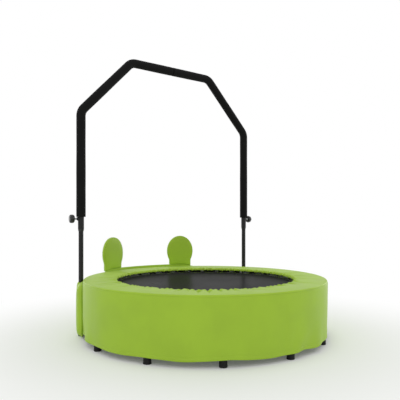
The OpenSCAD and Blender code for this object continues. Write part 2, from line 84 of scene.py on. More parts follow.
# Rounding of the opening's edge, and its hem, which is drawn up above the frame's own.
LIP_R = 8 * MM
HEM_RAISE = 1.5 * MM
HEM_Z = LIP_BOTTOM + HEM_RAISE
# How far the seam between the top and the skirt is below the rounding of the rim.
SEAM_DROP = 3 * MM
FOAM_LOW, FOAM_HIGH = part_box("foam_ring")
MAT_LOW, MAT_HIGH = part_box("jumping_mat")
MAT_R = MAT_HIGH.x
# Where the triangular rings start at the mat's edge, and how long they are.
RING_START = MAT_R + 1 * MM
RING_LONG = 26 * MM
SPRING_LOW, SPRING_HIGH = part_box("springs")
SPRING_Z = (SPRING_LOW.z + SPRING_HIGH.z) / 2
LEG_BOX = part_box("leg_01")
FRAME_R = (LEG_BOX[0].x + LEG_BOX[1].x) / 2
TUBE_R = (LEG_BOX[1].x - LEG_BOX[0].x) / 2
CAP_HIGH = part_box("leg_caps")[1]
CAP_R = CAP_HIGH.x - FRAME_R
LEG_COUNT = sum(name.startswith("leg_") and name[4:].isdigit() for name in frame["nodes"])
SPRING_COUNT = 3 * LEG_COUNT
SPRING_FIRST = 180 / SPRING_COUNT
POST_LOW, POST_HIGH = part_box("post_right")
POST = Vector(((POST_LOW.x + POST_HIGH.x) / 2, (POST_LOW.y + POST_HIGH.y) / 2, 0))
POST_R = (POST_HIGH.x - POST_LOW.x) / 2
POST_ANGLE = math.degrees(math.atan2(POST.y, POST.x))
TUBE_LOW, TUBE_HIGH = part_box("upper_tube_right")
BAR_R = (TUBE_HIGH.y - TUBE_LOW.y) / 2
BAR_Z = TUBE_HIGH.z - BAR_R
# The handle's lean in degrees, half the top bar up to its corners, and the bends' radius.
LEAN = 43.8
BAR_HALF = 215 * MM
BEND_R = 50 * MM
GRIP_LOW, GRIP_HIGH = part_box("foam_grip_right")
EAR_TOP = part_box("ear_left")[1].z
# An ear's half width at the head and at the neck, how far the head's middle is below the top, how far it
# narrows to the neck, its thickness, and each ear's turn in degrees from the middle of the back.
EAR_HALF, EAR_NECK = 69 * MM, 57.5 * MM
EAR_RISE, EAR_FALL = 79 * MM, 85 * MM
EAR_THICK = 20 * MM
EAR_TURNS = ((22.9, "left"), (-21.9, "right"))
BAND_LOW, BAND_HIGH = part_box("ear_band")
BAND_INNER = COVER_R + 0.3 * MM
BAND_THICK = BAND_HIGH.y - BAND_INNER
# The band's half length in degrees, from where it slopes, and how far its top drops.
BAND_SPAN, BAND_SLOPE, BAND_DROP = 30, 23.5, 10 * MM
PAD_LOW, PAD_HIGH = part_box("side_pad_right")
PAD_WIDTH, PAD_CORNER = 140 * MM, 40 * MM
JOINTS = {joint["name"]: joint for joint in frame["joints"]}
# Columns of the meshes that go round the ring.
TOP_COLUMNS, RING_COLUMNS, COARSE_COLUMNS = 1080, 720, 360


# ---------------------------------------------------------------- settings


def length(name, about, default):
    """A size that a user may change."""
    return FloatProperty(name=name, description=about, default=default, min=0, subtype="DISTANCE",
                         unit="LENGTH")


def colour(name, about, default):
    """A colour that a user may change."""
    return FloatVectorProperty(name=name, description=about, default=default, min=0, max=1, size=3,
                               subtype="COLOR")


class CoverSettings(bpy.types.PropertyGroup):
    """The fabric cover with its ears and pads."""

    cloth: colour("Cloth", "Colour of the coated cover cloth", (0.318, 0.492, 0.03))
    thread: colour("Thread", "Colour of the sewing thread", (0.24, 0.39, 0.025))
    weave: length("Weave", "Distance between the threads of the cover cloth", 0.9 * MM)
    corner: length("Corner", "Rounding between the top and the skirt", 4.5 * MM)
    pleats: IntProperty(name="Pleats", description="Gathers along the elastic", default=94, min=0)
    pleat_depth: length("Pleat depth", "How deep a strong gather is", 6.5 * MM)
    puff: length("Puff", "How far the top swells between its edges", 1.2 * MM)
    stitch: length("Stitch", "Length of a visible stitch", 3.2 * MM)
    stitch_pitch: length("Stitch pitch", "Distance from stitch to stitch", 4.6 * MM)
    foam: colour("Rim foam", "Colour of the foam under the top", (0.83, 0.83, 0.8))


class MatSettings(bpy.types.PropertyGroup):
    """The jumping mat and its springs."""

    cloth: colour("Mat", "Colour of the woven mat", (0.016, 0.016, 0.0165))
    webbing: colour("Webbing", "Colour of the tabs and the edge band", (0.012, 0.012, 0.012))
    weave: length("Weave", "Distance between the tapes of the mat's weave", 1.6 * MM)
    wire: length("Wire", "Thickness of the spring wire", 2.6 * MM)
    coil: length("Coil", "Outside diameter of a spring", 15.6 * MM)
    turns: IntProperty(name="Turns", description="Turns of a spring", default=17, min=3)


class HandleSettings(bpy.types.PropertyGroup):
    """The handle with its grips and clamp knobs."""

    grip: colour("Grip", "Colour of the foam grips", (0.006, 0.006, 0.006))
    coat: colour("Powder coat", "Colour of the coated steel tubes", (0.006, 0.006, 0.006))
    plastic: colour("Plastic", "Colour of the black plastic parts", (0.008, 0.008, 0.008))
    rubber: colour("Rubber", "Colour of the rubber feet", (0.006, 0.006, 0.006))
    zinc: colour("Zinc", "Colour of the plated steel", (0.55, 0.56, 0.57))
    thread_pitch: length("Thread pitch", "Pitch of the clamp screws", 1.25 * MM)
    lobes: IntProperty(name="Lobes", description="Finger lobes round a knob", default=8, min=3)


class StageSettings(bpy.types.PropertyGroup):
    """The floor, the light and the camera."""

    floor: colour("Floor", "Colour of the floor", (0.86, 0.86, 0.855))
    fade_start: length("Fade start", "Distance from the middle where the floor starts to whiten", 0.62)
    fade_end: length("Fade end", "Distance from the middle where the floor is white", 1.4)
    dome: FloatProperty(name="Dome", description="Strength of the white dome", default=0.84, min=0)


class TrampolineSettings(bpy.types.PropertyGroup):
    """All settings of the trampoline."""

    cover: PointerProperty(type=CoverSettings)
    mat: PointerProperty(type=MatSettings)
    handle: PointerProperty(type=HandleSettings)
    stage: PointerProperty(type=StageSettings)


def settings():
    """The scene's settings of the trampoline."""
    return bpy.context.scene.trampoline


# ---------------------------------------------------------------- shaders


class Value:
    """One value in a shader, with Python's operators."""

    def __init__(self, shader, socket):
        self.shader = shader
        self.socket = socket

    def maths(self, operation, *others):
        return self.shader.add("ShaderNodeMath", {"operation": operation}, self, *others)

    def __add__(self, other):
        return self.maths("ADD", other)

    __radd__ = __add__

    def __mul__(self, other):
        return self.maths("MULTIPLY", other)

    __rmul__ = __mul__

    def __sub__(self, other):
        return self.maths("SUBTRACT", other)

    def __rsub__(self, other):
        return self.shader.add("ShaderNodeMath", {"operation": "SUBTRACT"}, other, self)

    def __truediv__(self, other):
        return self.maths("DIVIDE", other)

    def __mod__(self, other):
        return self.maths("FLOORED_MODULO", other)

    def __abs__(self):
        return self.maths("ABSOLUTE")

    def floor(self):
        return self.maths("FLOOR")

    def sine(self):
        return self.maths("SINE")

    def above(self, level):
        return self.maths("GREATER_THAN", level)

    def ramp(self, low, high, start=0.0, end=1.0):
        """Maps low..high to start..end, clamped and smooth."""
        kind = {"interpolation_type": "SMOOTHSTEP"}
        return self.shader.add("ShaderNodeMapRange", kind, self, low, high, start, end)


class Shader:
    """The nodes of one material."""

    def __init__(self, name):
        self.material = bpy.data.materials.new(name)
        self.material.use_nodes = True
        self.nodes = self.material.node_tree.nodes
        self.links = self.material.node_tree.links
        self.nodes.clear()

    def feed(self, socket, value):
        """Gives a socket a value, or links it to one."""
        if isinstance(value, Value):
            self.links.new(value.socket, socket)
        elif hasattr(value, "__len__") and len(value) == 3 and socket.type == "RGBA":
            socket.default_value = (*value, 1)
        else:
            socket.default_value = value

    def add(self, kind, kind_settings=None, *values, output=0, **named):
        """Adds a node with its settings; values feed its first sockets, and named those of that name."""
        node = self.nodes.new(kind)
        for name, value in (kind_settings or {}).items():
            setattr(node, name, value)
        for socket, value in zip(node.inputs, values):
            self.feed(socket, value)
        for name, value in named.items():
            self.feed(node.inputs[name.replace("_", " ")], value)
        return Value(self, node.outputs[output])

    def place(self, kind="Object"):
        """Where a point is, on the object or in another kind of coordinates."""
        return self.add("ShaderNodeTexCoord", output=kind)

    def parts(self, vector):
        """The x, y and z of a vector."""
        node = self.nodes.new("ShaderNodeSeparateXYZ")
        self.feed(node.inputs[0], vector)
        return [Value(self, out) for out in node.outputs]

    def noise(self, vector, scale, detail=3.0, roughness=0.5):
        return self.add("ShaderNodeTexNoise", Vector=vector, Scale=scale, Detail=detail,
                        Roughness=roughness)

    def cells(self, vector, scale):
        return self.add("ShaderNodeTexVoronoi", Vector=vector, Scale=scale)

    def blend(self, factor, first, second):
        """Mixes two colours."""
        node = self.nodes.new("ShaderNodeMix")
        node.data_type = "RGBA"
        for index, value in ((0, factor), (6, first), (7, second)):
            self.feed(node.inputs[index], value)
        return Value(self, node.outputs[2])

    def bump(self, height, distance, strength=1.0, below=None):
        extra = {} if below is None else {"Normal": below}
        return self.add("ShaderNodeBump", Height=height, Distance=distance, Strength=strength, **extra)

    def finish(self, base, roughness, normal=None, metallic=0.0, **plain):
        """Ends in a Principled surface; plain holds the sockets that are the same all over."""
        values = {"Base Color": base, "Roughness": roughness, "Metallic": metallic, **plain}
        node = self.nodes.new("ShaderNodeBsdfPrincipled")
        for name, value in values.items():
            self.feed(node.inputs[name.replace("_", " ")], value)
        if normal is not None:
            self.feed(node.inputs["Normal"], normal)
        self.end(Value(self, node.outputs[0]))
        return self.material

    def end(self, surface):
        """Ends in any surface."""
        output = self.nodes.new("ShaderNodeOutputMaterial")
        self.feed(output.inputs["Surface"], surface)


def shade(tint, factor):
    """A colour made lighter or darker."""
    return tuple(min(1.0, channel * factor) for channel in tint)


def woven(shader, place, pitch):
    """Height of a plain weave: threads that go over and under each other."""
    x, y, _ = shader.parts(place)
    across, along = x * (1 / pitch), y * (1 / pitch)
    over = (across.floor() + along.floor()) % 2
    warp = abs((across * math.pi).sine())
    weft = abs((along * math.pi).sine())
    return warp * over + weft * (1 - over)


def cover_cloth(name, tint, pitch):
    """Coated polyester: a fine weave under a soft sheen, with faint clouds in its dye."""
    shader = Shader(name)
    place, uv = shader.place(), shader.place("UV")
    threads = woven(shader, uv, pitch)
    clouds = shader.noise(place, 9.0, 4.0)
    base = shader.blend(clouds.ramp(0.3, 0.7), shade(tint, 0.95), shade(tint, 1.04))
    base = shader.blend(threads * 0.1, base, shade(tint, 1.25))
    roughness = clouds.ramp(0.25, 0.75, 0.5, 0.6)
    creases = shader.bump(shader.noise(place, 38.0, 2.0), 0.5 * MM, 0.12)
    normal = shader.bump(threads, 0.1 * MM, 0.25, creases)
    return shader.finish(
        base, roughness, normal, Sheen_Weight=0.06, Sheen_Roughness=0.45, Specular_IOR_Level=0.3
    )


def sewing_thread(name, tint):
    """Twisted polyester thread."""
    shader = Shader(name)
    x, y, z = shader.parts(shader.place())
    twist = ((x + y + z) * (2 * math.pi / (0.9 * MM))).sine()
    base = shader.blend(twist.ramp(-1, 1), shade(tint, 0.8), shade(tint, 1.15))
    return shader.finish(base, 0.62, shader.bump(twist, 0.08 * MM, 0.5), Sheen_Weight=0.2)


def mat_mesh(name, tint, pitch):
    """Tight weave of flat black tapes with a faint gloss."""
    shader = Shader(name)
    place = shader.place()
    tapes = woven(shader, place, pitch)
    dust = shader.noise(place, 3.2, 5.0)
    base = shader.blend(dust.ramp(0.45, 0.8), tint, shade(tint, 1.5))
    base = shader.blend(tapes * 0.35, base, shade(tint, 2.0))
    roughness = dust.ramp(0.3, 0.7, 0.27, 0.33)
    return shader.finish(base, roughness, shader.bump(tapes, 0.06 * MM, 0.1), IOR=1.028)


def ribbed_webbing(name, tint):
    """Flat strap with ribs across its length."""
    shader = Shader(name)
    x, y, _ = shader.parts(shader.place("UV"))
    ribs = abs((x * (math.pi / (1.4 * MM))).sine())
    weft = abs((y * (math.pi / (0.7 * MM))).sine())
    base = shader.blend(ribs * 0.5, tint, shade(tint, 2.2))
    return shader.finish(base, 0.72, shader.bump(ribs + weft * 0.4, 0.25 * MM, 0.6), Sheen_Weight=0.15)


def braided_elastic(name, tint):
    """Round elastic in a braided sleeve."""
    shader = Shader(name)
    braid = woven(shader, shader.place("UV"), 0.8 * MM)
    base = shader.blend(braid, shade(tint, 0.6), shade(tint, 1.8))
    return shader.finish(base, 0.7, shader.bump(braid, 0.2 * MM, 0.6))


def grip_foam(name, tint):
    """Closed-cell grip foam: matt, with fine pores and a few scuffs."""
    shader = Shader(name)
    place = shader.place()
    pores = shader.cells(place, 1400.0)
    scuffs = shader.noise(place, 22.0, 6.0, 0.65)
    base = shader.blend(scuffs.ramp(0.55, 0.8), tint, shade(tint, 1.9))
    roughness = scuffs.ramp(0.3, 0.8, 0.78, 0.9)
    soft = shader.bump(shader.noise(place, 90.0, 2.0), 0.4 * MM, 0.15)
    normal = shader.bump(pores, 0.15 * MM, 0.3, soft)
    return shader.finish(base, roughness, normal, Specular_IOR_Level=0.12, Sheen_Weight=0.02)


def pad_foam(name, tint):
    """Pale packing foam with coarse cells."""
    shader = Shader(name)
    place = shader.place()
    cells = shader.cells(place, 420.0)
    base = shader.blend(cells, tint, shade(tint, 0.86))
    return shader.finish(base, 0.85, shader.bump(cells, 0.5 * MM, 0.4))


def powder_coat(name, tint):
    """Satin black powder coat with orange peel and rubbed patches."""
    shader = Shader(name)
    place = shader.place()
    peel = shader.noise(place, 700.0, 2.0)
    rubbed = shader.noise(place, 14.0, 7.0, 0.6)
    base = shader.blend(rubbed.ramp(0.62, 0.8), tint, shade(tint, 1.7))
    roughness = rubbed.ramp(0.35, 0.75, 0.42, 0.55)
    return shader.finish(base, roughness, shader.bump(peel, 0.06 * MM, 0.35), Specular_IOR_Level=0.3)


def zinc_plate(name, tint):
    """Bright zinc plating with fine brush lines and dull blooms."""
    shader = Shader(name)
    place = shader.place()
    blooms = shader.noise(place, 60.0, 5.0)
    grain = shader.noise(place, 900.0, 2.0)
    base = shader.blend(blooms.ramp(0.4, 0.7), tint, shade(tint, 0.78))
    roughness = blooms.ramp(0.3, 0.7, 0.22, 0.42)
    return shader.finish(base, roughness, shader.bump(grain, 0.03 * MM, 0.3), metallic=1.0)


def moulded_rubber(name, tint):
    """Black rubber, greyed by dust towards the floor."""
    shader = Shader(name)
    place = shader.place()
    _, _, height = shader.parts(place)
    grit = shader.noise(place, 160.0, 6.0, 0.65)
    dusty = height.ramp(0.0, 9 * MM, 1.0, 0.0) * grit.ramp(0.35, 0.7)
    base = shader.blend(dusty * 0.35, tint, (0.03, 0.029, 0.027))
    roughness = grit.ramp(0.3, 0.7, 0.55, 0.72)
    return shader.finish(base, roughness, shader.bump(grit, 0.12 * MM, 0.25), Specular_IOR_Level=0.25)


def black_plastic(name, tint):
    """Injection-moulded plastic with a fine spark-eroded grain."""
    shader = Shader(name)
    place = shader.place()
    grain = shader.noise(place, 1500.0, 2.0)
    touched = shader.noise(place, 45.0, 4.0)
    base = shader.blend(touched.ramp(0.5, 0.8), tint, shade(tint, 1.8))
    roughness = touched.ramp(0.3, 0.7, 0.4, 0.5)
    return shader.finish(base, roughness, shader.bump(grain, 0.05 * MM, 0.4))


def stay_plastic(name, tint):
    """Milky plastic strip."""
    shader = Shader(name)
    streaks = shader.noise(shader.place(), 120.0, 3.0)
    base = shader.blend(streaks.ramp(0.3, 0.7), tint, shade(tint, 0.9))
    return shader.finish(base, 0.4, shader.bump(streaks, 0.05 * MM, 0.3))


def make_materials():
    """Every finish by its slot, and the sewing thread."""
    cover, mat, handle = settings().cover, settings().mat, settings().handle
    return {
        "green_fabric": cover_cloth("cover_cloth", cover.cloth, cover.weave),
        "thread": sewing_thread("sewing_thread", cover.thread),
        "pad_foam": pad_foam("rim_foam", cover.foam),
        "mat_mesh": mat_mesh("mat_mesh", mat.cloth, mat.weave),
        "webbing": ribbed_webbing("mat_webbing", mat.webbing),
        "elastic": braided_elastic("hem_elastic", mat.webbing),
        "grip_foam": grip_foam("grip_foam", handle.grip),
        "black_steel": powder_coat("powder_coat", handle.coat),
        "zinc_steel": zinc_plate("zinc_plate", handle.zinc),
        "foot_rubber": moulded_rubber("foot_rubber", handle.rubber),
        "black_plastic": black_plastic("black_plastic", handle.plastic),
        "stay_plastic": stay_plastic("stay_plastic", (0.8, 0.8, 0.78)),
    }


# The finishes, once they are made.
MATERIALS = {}


# ---------------------------------------------------------------- mesh tools


def grid_piece(name, points, finish, uv=None, closed=False, poles=False):
    """A mesh of rings: points is rows x columns x 3, closed along each ring, uv is rows x (columns + 1) x 2.

    closed joins the last ring to the first, and poles closes both ends with a fan."""
    rows, cols = points.shape[:2]
    verts = points.reshape(-1, 3)
    faces, corners = [], []
    for i in range(rows if closed else rows - 1):
        below = (i + 1) % rows
        for j in range(cols):
            k = (j + 1) % cols
            faces.append((i * cols + j, i * cols + k, below * cols + k, below * cols + j))
            corners.append(((i, j), (i, j + 1), (i + 1, j + 1), (i + 1, j)))
    if poles:
        for row in (0, rows - 1):
            tip = len(verts)
            verts = np.vstack([verts, points[row].mean(axis=0)])
            for j in range(cols):
                k = (j + 1) % cols
                ring = (row * cols + j, row * cols + k)
                faces.append((tip, *ring) if row else (tip, *ring[::-1]))
                corners.append(((row, j), (row, j), (row, j + 1)))
    mesh = bpy.data.meshes.new(name)
    mesh.from_pydata(verts.tolist(), [], faces)
    if uv is not None:
        layer = mesh.uv_layers.new(name="UVMap")
        last = uv.shape[0] - 1
        flat = [uv[min(i, last), j] for corner in corners for i, j in corner]
        layer.data.foreach_set("uv", np.array(flat, np.float32).ravel())
    smooth_outward(mesh)
    return link_piece(name, mesh, finish)


def smooth_outward(mesh):
    """Turns the faces of a closed mesh outwards and shades them smooth."""
    work = bmesh.new()
    work.from_mesh(mesh)
    bmesh.ops.recalc_face_normals(work, faces=work.faces)
    if work.calc_volume(signed=True) < 0:
        bmesh.ops.reverse_faces(work, faces=work.faces)
    work.to_mesh(mesh)
    work.free()
    mesh.shade_smooth()


def evaluated_mesh(piece):
    """A new mesh with the piece's modifiers applied."""
    graph = bpy.context.evaluated_depsgraph_get()
    return bpy.data.meshes.new_from_object(piece.evaluated_get(graph))


def places_of(mesh):
    """The places of a mesh's vertices, as rows."""
    return np.array([vertex.co for vertex in mesh.vertices])


def set_places(mesh, places):
    """Moves the vertices of a mesh to new places."""
    mesh.vertices.foreach_set("co", places.astype(np.float32).ravel())


def link_piece(name, mesh, finish=None):
    """Adds a mesh to the scene as a piece, with its finish."""
    piece = bpy.data.objects.new(name, mesh)
    bpy.context.scene.collection.objects.link(piece)
    if finish:
        mesh.materials.clear()
        mesh.materials.append(MATERIALS[finish])
    return piece


def ring_uv(points):
    """UV in metres for a grid of rings: along the ring, and down the rows."""
    closed_ring = np.concatenate([points, points[:, :1]], axis=1)
    along = np.linalg.norm(np.diff(closed_ring, axis=1), axis=2)
    middle = along.mean(axis=0)
    u = np.concatenate([[0], np.cumsum(middle)])
    steps = np.linalg.norm(np.diff(points, axis=0), axis=2).mean(axis=1)
    v = np.concatenate([[0], np.cumsum(steps)])
    return np.stack(np.broadcast_arrays(u[None, :], v[:, None]), axis=2)


def surface_normals(points):
    """Unit normals of a grid of rings, by differences."""
    around = np.roll(points, -1, axis=1) - np.roll(points, 1, axis=1)
    down = np.gradient(points, axis=0)
    normal = np.cross(around, down)
    return normal / np.maximum(np.linalg.norm(normal, axis=2, keepdims=True), 1e-12)


def cloth_shell(name, outer, thickness, finish):
    """A closed shell of cloth whose outer face is the grid of rings."""
    inner = outer - thickness * surface_normals(outer)
    uv = ring_uv(outer)
    both = np.concatenate([outer, inner[::-1]])
    return grid_piece(name, both, finish, np.concatenate([uv, uv[::-1], uv[:1]]), closed=True)


def polar(radius, angle, z):
    """Points from radius, angle in radians and height, as arrays that broadcast."""
    radius, angle, z = np.broadcast_arrays(radius, angle, z)
    return np.stack([radius * np.cos(angle), radius * np.sin(angle), z], axis=-1)


def ring_degrees(count):
    """Even angles round the ring in degrees, as one row."""
    return (np.arange(count) * 360 / count)[None, :]


def full_turn(count):
    """Even angles of a full turn, in radians."""
    return np.arange(count) * 2 * math.pi / count


def run_along(points):
    """Distance from the first point along a line."""
    return np.concatenate([[0], np.cumsum(np.linalg.norm(np.diff(points, axis=0), axis=1))])


def smooth_step(x, low, high):
    """Goes smoothly from 0 at low to 1 at high and stays level beyond them; low may be the larger one."""
    t = np.clip((x - low) / (high - low), 0, 1)
    return t * t * (3 - 2 * t)


def turn_between(angle, target):
    """Signed distance between angles, in degrees."""
    return (angle - target + 180) % 360 - 180


def sweep(path, section, name, finish):
    """Sweeps a section, columns x 2, along a path in space without twist, and closes both ends."""
    path = np.asarray(path, float)
    along = np.gradient(path, axis=0)
    along /= np.linalg.norm(along, axis=1, keepdims=True)
    side = np.cross(along[0], (0, 1, 0) if abs(along[0][1]) < 0.9 else (0, 0, 1))
    sides = []
    for direction in along:
        side = side - direction * side.dot(direction)
        side /= np.linalg.norm(side)
        sides.append(side)
    sides = np.array(sides)
    ups = np.cross(along, sides)
    points = path[:, None] + section[None, :, :1] * sides[:, None] + section[None, :, 1:] * ups[:, None]
    return grid_piece(name, points, finish, ring_uv(points), poles=True)


def circle_section(radius, count):
    """A round section of count points."""
    turn = full_turn(count)
    return radius * np.stack([np.cos(turn), np.sin(turn)], axis=1)


def revolve(name, profile, finish, count, centre):
    """Turns a profile of (radius, height) round an upright axis through centre, closed at both ends."""
    points = polar(profile[:, :1], full_turn(count)[None, :], profile[:, 1:]) + np.array(centre)
    return grid_piece(name, points, finish, ring_uv(points), poles=True)


def rounded(profile, radius, steps=5):
    """Rounds the inner corners of an open polyline in a plane."""
    points = [np.array(p, float) for p in profile]
    result = [points[0]]
    for before, corner, after in zip(points, points[1:], points[2:]):
        to_before, to_after = before - corner, after - corner
        reach = min(radius, 0.49 * np.linalg.norm(to_before), 0.49 * np.linalg.norm(to_after))
        start = corner + to_before / np.linalg.norm(to_before) * reach
        end = corner + to_after / np.linalg.norm(to_after) * reach
        for t in np.linspace(0, 1, steps):
            result.append((1 - t) ** 2 * start + 2 * t * (1 - t) * corner + t * t * end)
    return np.array(result + [points[-1]])


def wire_path(name, points, closed=False):
    """A mesh of edges along the points, for a node tree to follow."""
    count = len(points)
    edges = [(i, (i + 1) % count) for i in range(count if closed else count - 1)]
    mesh = bpy.data.meshes.new(name)
    mesh.from_pydata(np.asarray(points).tolist(), edges, [])
    return link_piece(name, mesh)


# ---------------------------------------------------------------- node trees


def new_tree(name, inputs):
    """A geometry tree with named inputs: (name, socket type, default)."""
    tree = bpy.data.node_groups.new(name, "GeometryNodeTree")
    tree.interface.new_socket("Geometry", in_out="INPUT", socket_type="NodeSocketGeometry")
    for label, kind, default in inputs:
        socket = tree.interface.new_socket(label, in_out="INPUT", socket_type=kind)
        if default is not None:
            socket.default_value = default
    tree.interface.new_socket("Geometry", in_out="OUTPUT", socket_type="NodeSocketGeometry")
    return tree


def add_node(tree, kind, kind_settings=None, **inputs):
    """Adds a node; inputs are values or sockets, by the socket's name with _ for a space."""
    node = tree.nodes.new(kind)
    for name, value in (kind_settings or {}).items():
        setattr(node, name, value)
    for name, value in inputs.items():
        socket = node.inputs[name.replace("_", " ")]
        if isinstance(value, bpy.types.NodeSocket):
            tree.links.new(value, socket)
        else:
            socket.default_value = value
    return node


def close_tree(tree, given, geometry):
    """Realizes the instances, sets the material and ends the tree."""
    whole = add_node(tree, "GeometryNodeRealizeInstances", Geometry=geometry)
    painted = add_node(tree, "GeometryNodeSetMaterial", Geometry=whole.outputs[0],
                       Material=given.outputs["Material"])
    end = tree.nodes.new("NodeGroupOutput")
    tree.links.new(painted.outputs[0], end.inputs[0])
    return tree


def wire_tree():
    """Turns a path of edges into round wire."""
    tree = new_tree("round_wire", [
        ("Radius", "NodeSocketFloat", 1 * MM),
        ("Sides", "NodeSocketInt", 8),
        ("Material", "NodeSocketMaterial", None),
    ])
    given = tree.nodes.new("NodeGroupInput")
    curve = add_node(tree, "GeometryNodeMeshToCurve", Mesh=given.outputs["Geometry"])
    ring = add_node(tree, "GeometryNodeCurvePrimitiveCircle", Resolution=given.outputs["Sides"],
                    Radius=given.outputs["Radius"])
    tube = add_node(tree, "GeometryNodeCurveToMesh", Curve=curve.outputs[0],
                    Profile_Curve=ring.outputs[0], Fill_Caps=True)
    smooth = add_node(tree, "GeometryNodeSetShadeSmooth", Geometry=tube.outputs[0])
    return close_tree(tree, given, smooth.outputs[0])


def stitch_tree():
    """Sews a path of edges with a row of short thread stitches."""
    tree = new_tree("stitch_row", [
        ("Pitch", "NodeSocketFloat", 4.6 * MM),
        ("Stitch", "NodeSocketFloat", 3.2 * MM),
        ("Thickness", "NodeSocketFloat", 0.8 * MM),
        ("Material", "NodeSocketMaterial", None),
    ])
    given = tree.nodes.new("NodeGroupInput")
    curve = add_node(tree, "GeometryNodeMeshToCurve", Mesh=given.outputs["Geometry"])
    steps = add_node(tree, "GeometryNodeResampleCurve", {"mode": "LENGTH"}, Curve=curve.outputs[0],
                     Length=given.outputs["Pitch"])
    tangent = add_node(tree, "GeometryNodeInputTangent")
    turn = add_node(tree, "FunctionNodeAlignEulerToVector", {"axis": "Z"}, Vector=tangent.outputs[0])
    bead = add_node(tree, "GeometryNodeMeshUVSphere", Segments=6, Rings=4, Radius=0.5)
    size = add_node(tree, "ShaderNodeCombineXYZ", X=given.outputs["Thickness"],
                    Y=given.outputs["Thickness"], Z=given.outputs["Stitch"])
    row = add_node(tree, "GeometryNodeInstanceOnPoints", Points=steps.outputs[0],
                   Instance=bead.outputs[0], Rotation=turn.outputs[0], Scale=size.outputs[0])
    smooth = add_node(tree, "GeometryNodeSetShadeSmooth", Geometry=row.outputs[0])
    return close_tree(tree, given, smooth.outputs[0])


def ring_tree():
    """Repeats a piece evenly round the vertical axis."""
    tree = new_tree("round_the_ring", [
        ("Count", "NodeSocketInt", 12),
        ("First", "NodeSocketFloat", 0.0),
        ("Material", "NodeSocketMaterial", None),
    ])
    given = tree.nodes.new("NodeGroupInput")
    spots = add_node(tree, "GeometryNodePoints", Count=given.outputs["Count"])
    index = add_node(tree, "GeometryNodeInputIndex")
    step = add_node(tree, "ShaderNodeMath", {"operation": "DIVIDE"})
    step.inputs[0].default_value = 2 * math.pi
    tree.links.new(given.outputs["Count"], step.inputs[1])
    angle = add_node(tree, "ShaderNodeMath", {"operation": "MULTIPLY_ADD"})
    tree.links.new(index.outputs[0], angle.inputs[0])
    tree.links.new(step.outputs[0], angle.inputs[1])
    tree.links.new(given.outputs["First"], angle.inputs[2])
    turn = add_node(tree, "ShaderNodeCombineXYZ", Z=angle.outputs[0])
    copies = add_node(tree, "GeometryNodeInstanceOnPoints", Points=spots.outputs[0],
                      Instance=given.outputs["Geometry"], Rotation=turn.outputs[0])
    return close_tree(tree, given, copies.outputs[0])


# The node trees, once they are made.
TREES = {}


def run_tree(piece, tree_name, finish, **inputs):
    """Runs a node tree on a piece and keeps the result as its plain mesh."""
    tree = TREES[tree_name]
    modifier = piece.modifiers.new(tree_name, "NODES")
    modifier.node_group = tree
    values = {"Material": MATERIALS[finish], **inputs}
    for item in tree.interface.items_tree:
        if item.item_type == "SOCKET" and item.in_out == "INPUT" and item.name in values:
            modifier[item.identifier] = values[item.name]
    mesh = evaluated_mesh(piece)
    piece.modifiers.remove(modifier)
    mesh.name = piece.name
    piece.data = mesh
    return piece


def sew(name, points, body="root", closed=False):
    """A row of stitches along the points."""
    cover = settings().cover
    row = wire_path(name, points, closed)
    run_tree(row, "stitch_row", "thread", Pitch=cover.stitch_pitch, Stitch=cover.stitch)
    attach(row, body)
    return row


def hand_over(piece, body, slot, *nodes):
    """Hangs a piece on the body that it rides on and hides the nodes that it stands for; slot is not used."""
    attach(piece, body)
    if nodes:
        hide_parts(*nodes)
    return piece


# ---------------------------------------------------------------- padded pieces


def spread(points, count):
    """Spreads count + 1 points evenly along an open line in a plane."""
    points = np.asarray(points, float)
    run = run_along(points)
    at = np.linspace(0, run[-1], count + 1)
    return np.stack([np.interp(at, run, points[:, i]) for i in (0, 1)], axis=1)


def fill_outline(base, right, top, left):
    """A grid of places within four sides: base and top run to the right, right and left run upwards."""
    u = np.linspace(0, 1, len(base))[None, :, None]
    v = np.linspace(0, 1, len(right))[:, None, None]
    ruled = (1 - v) * base[None] + v * top[None] + (1 - u) * left[:, None] + u * right[:, None]
    low = (1 - u) * base[0] + u * base[-1]
    high = (1 - u) * top[0] + u * top[-1]
    return ruled - (1 - v) * low - v * high


def edge_loop(rows, cols):
    """Indices round the edge of a grid, along its base first."""
    right = [i * cols + cols - 1 for i in range(1, rows)]
    top = [(rows - 1) * cols + j for j in range(cols - 2, -1, -1)]
    left = [i * cols for i in range(rows - 2, 0, -1)]
    return list(range(cols)) + right + top + left


def edge_normals(rim):
    """Unit normals that point out of a closed outline."""
    along = np.roll(rim, -1, axis=0) - np.roll(rim, 1, axis=0)
    out = np.stack([along[:, 1], -along[:, 0]], axis=1)
    return out / np.linalg.norm(out, axis=1, keepdims=True)


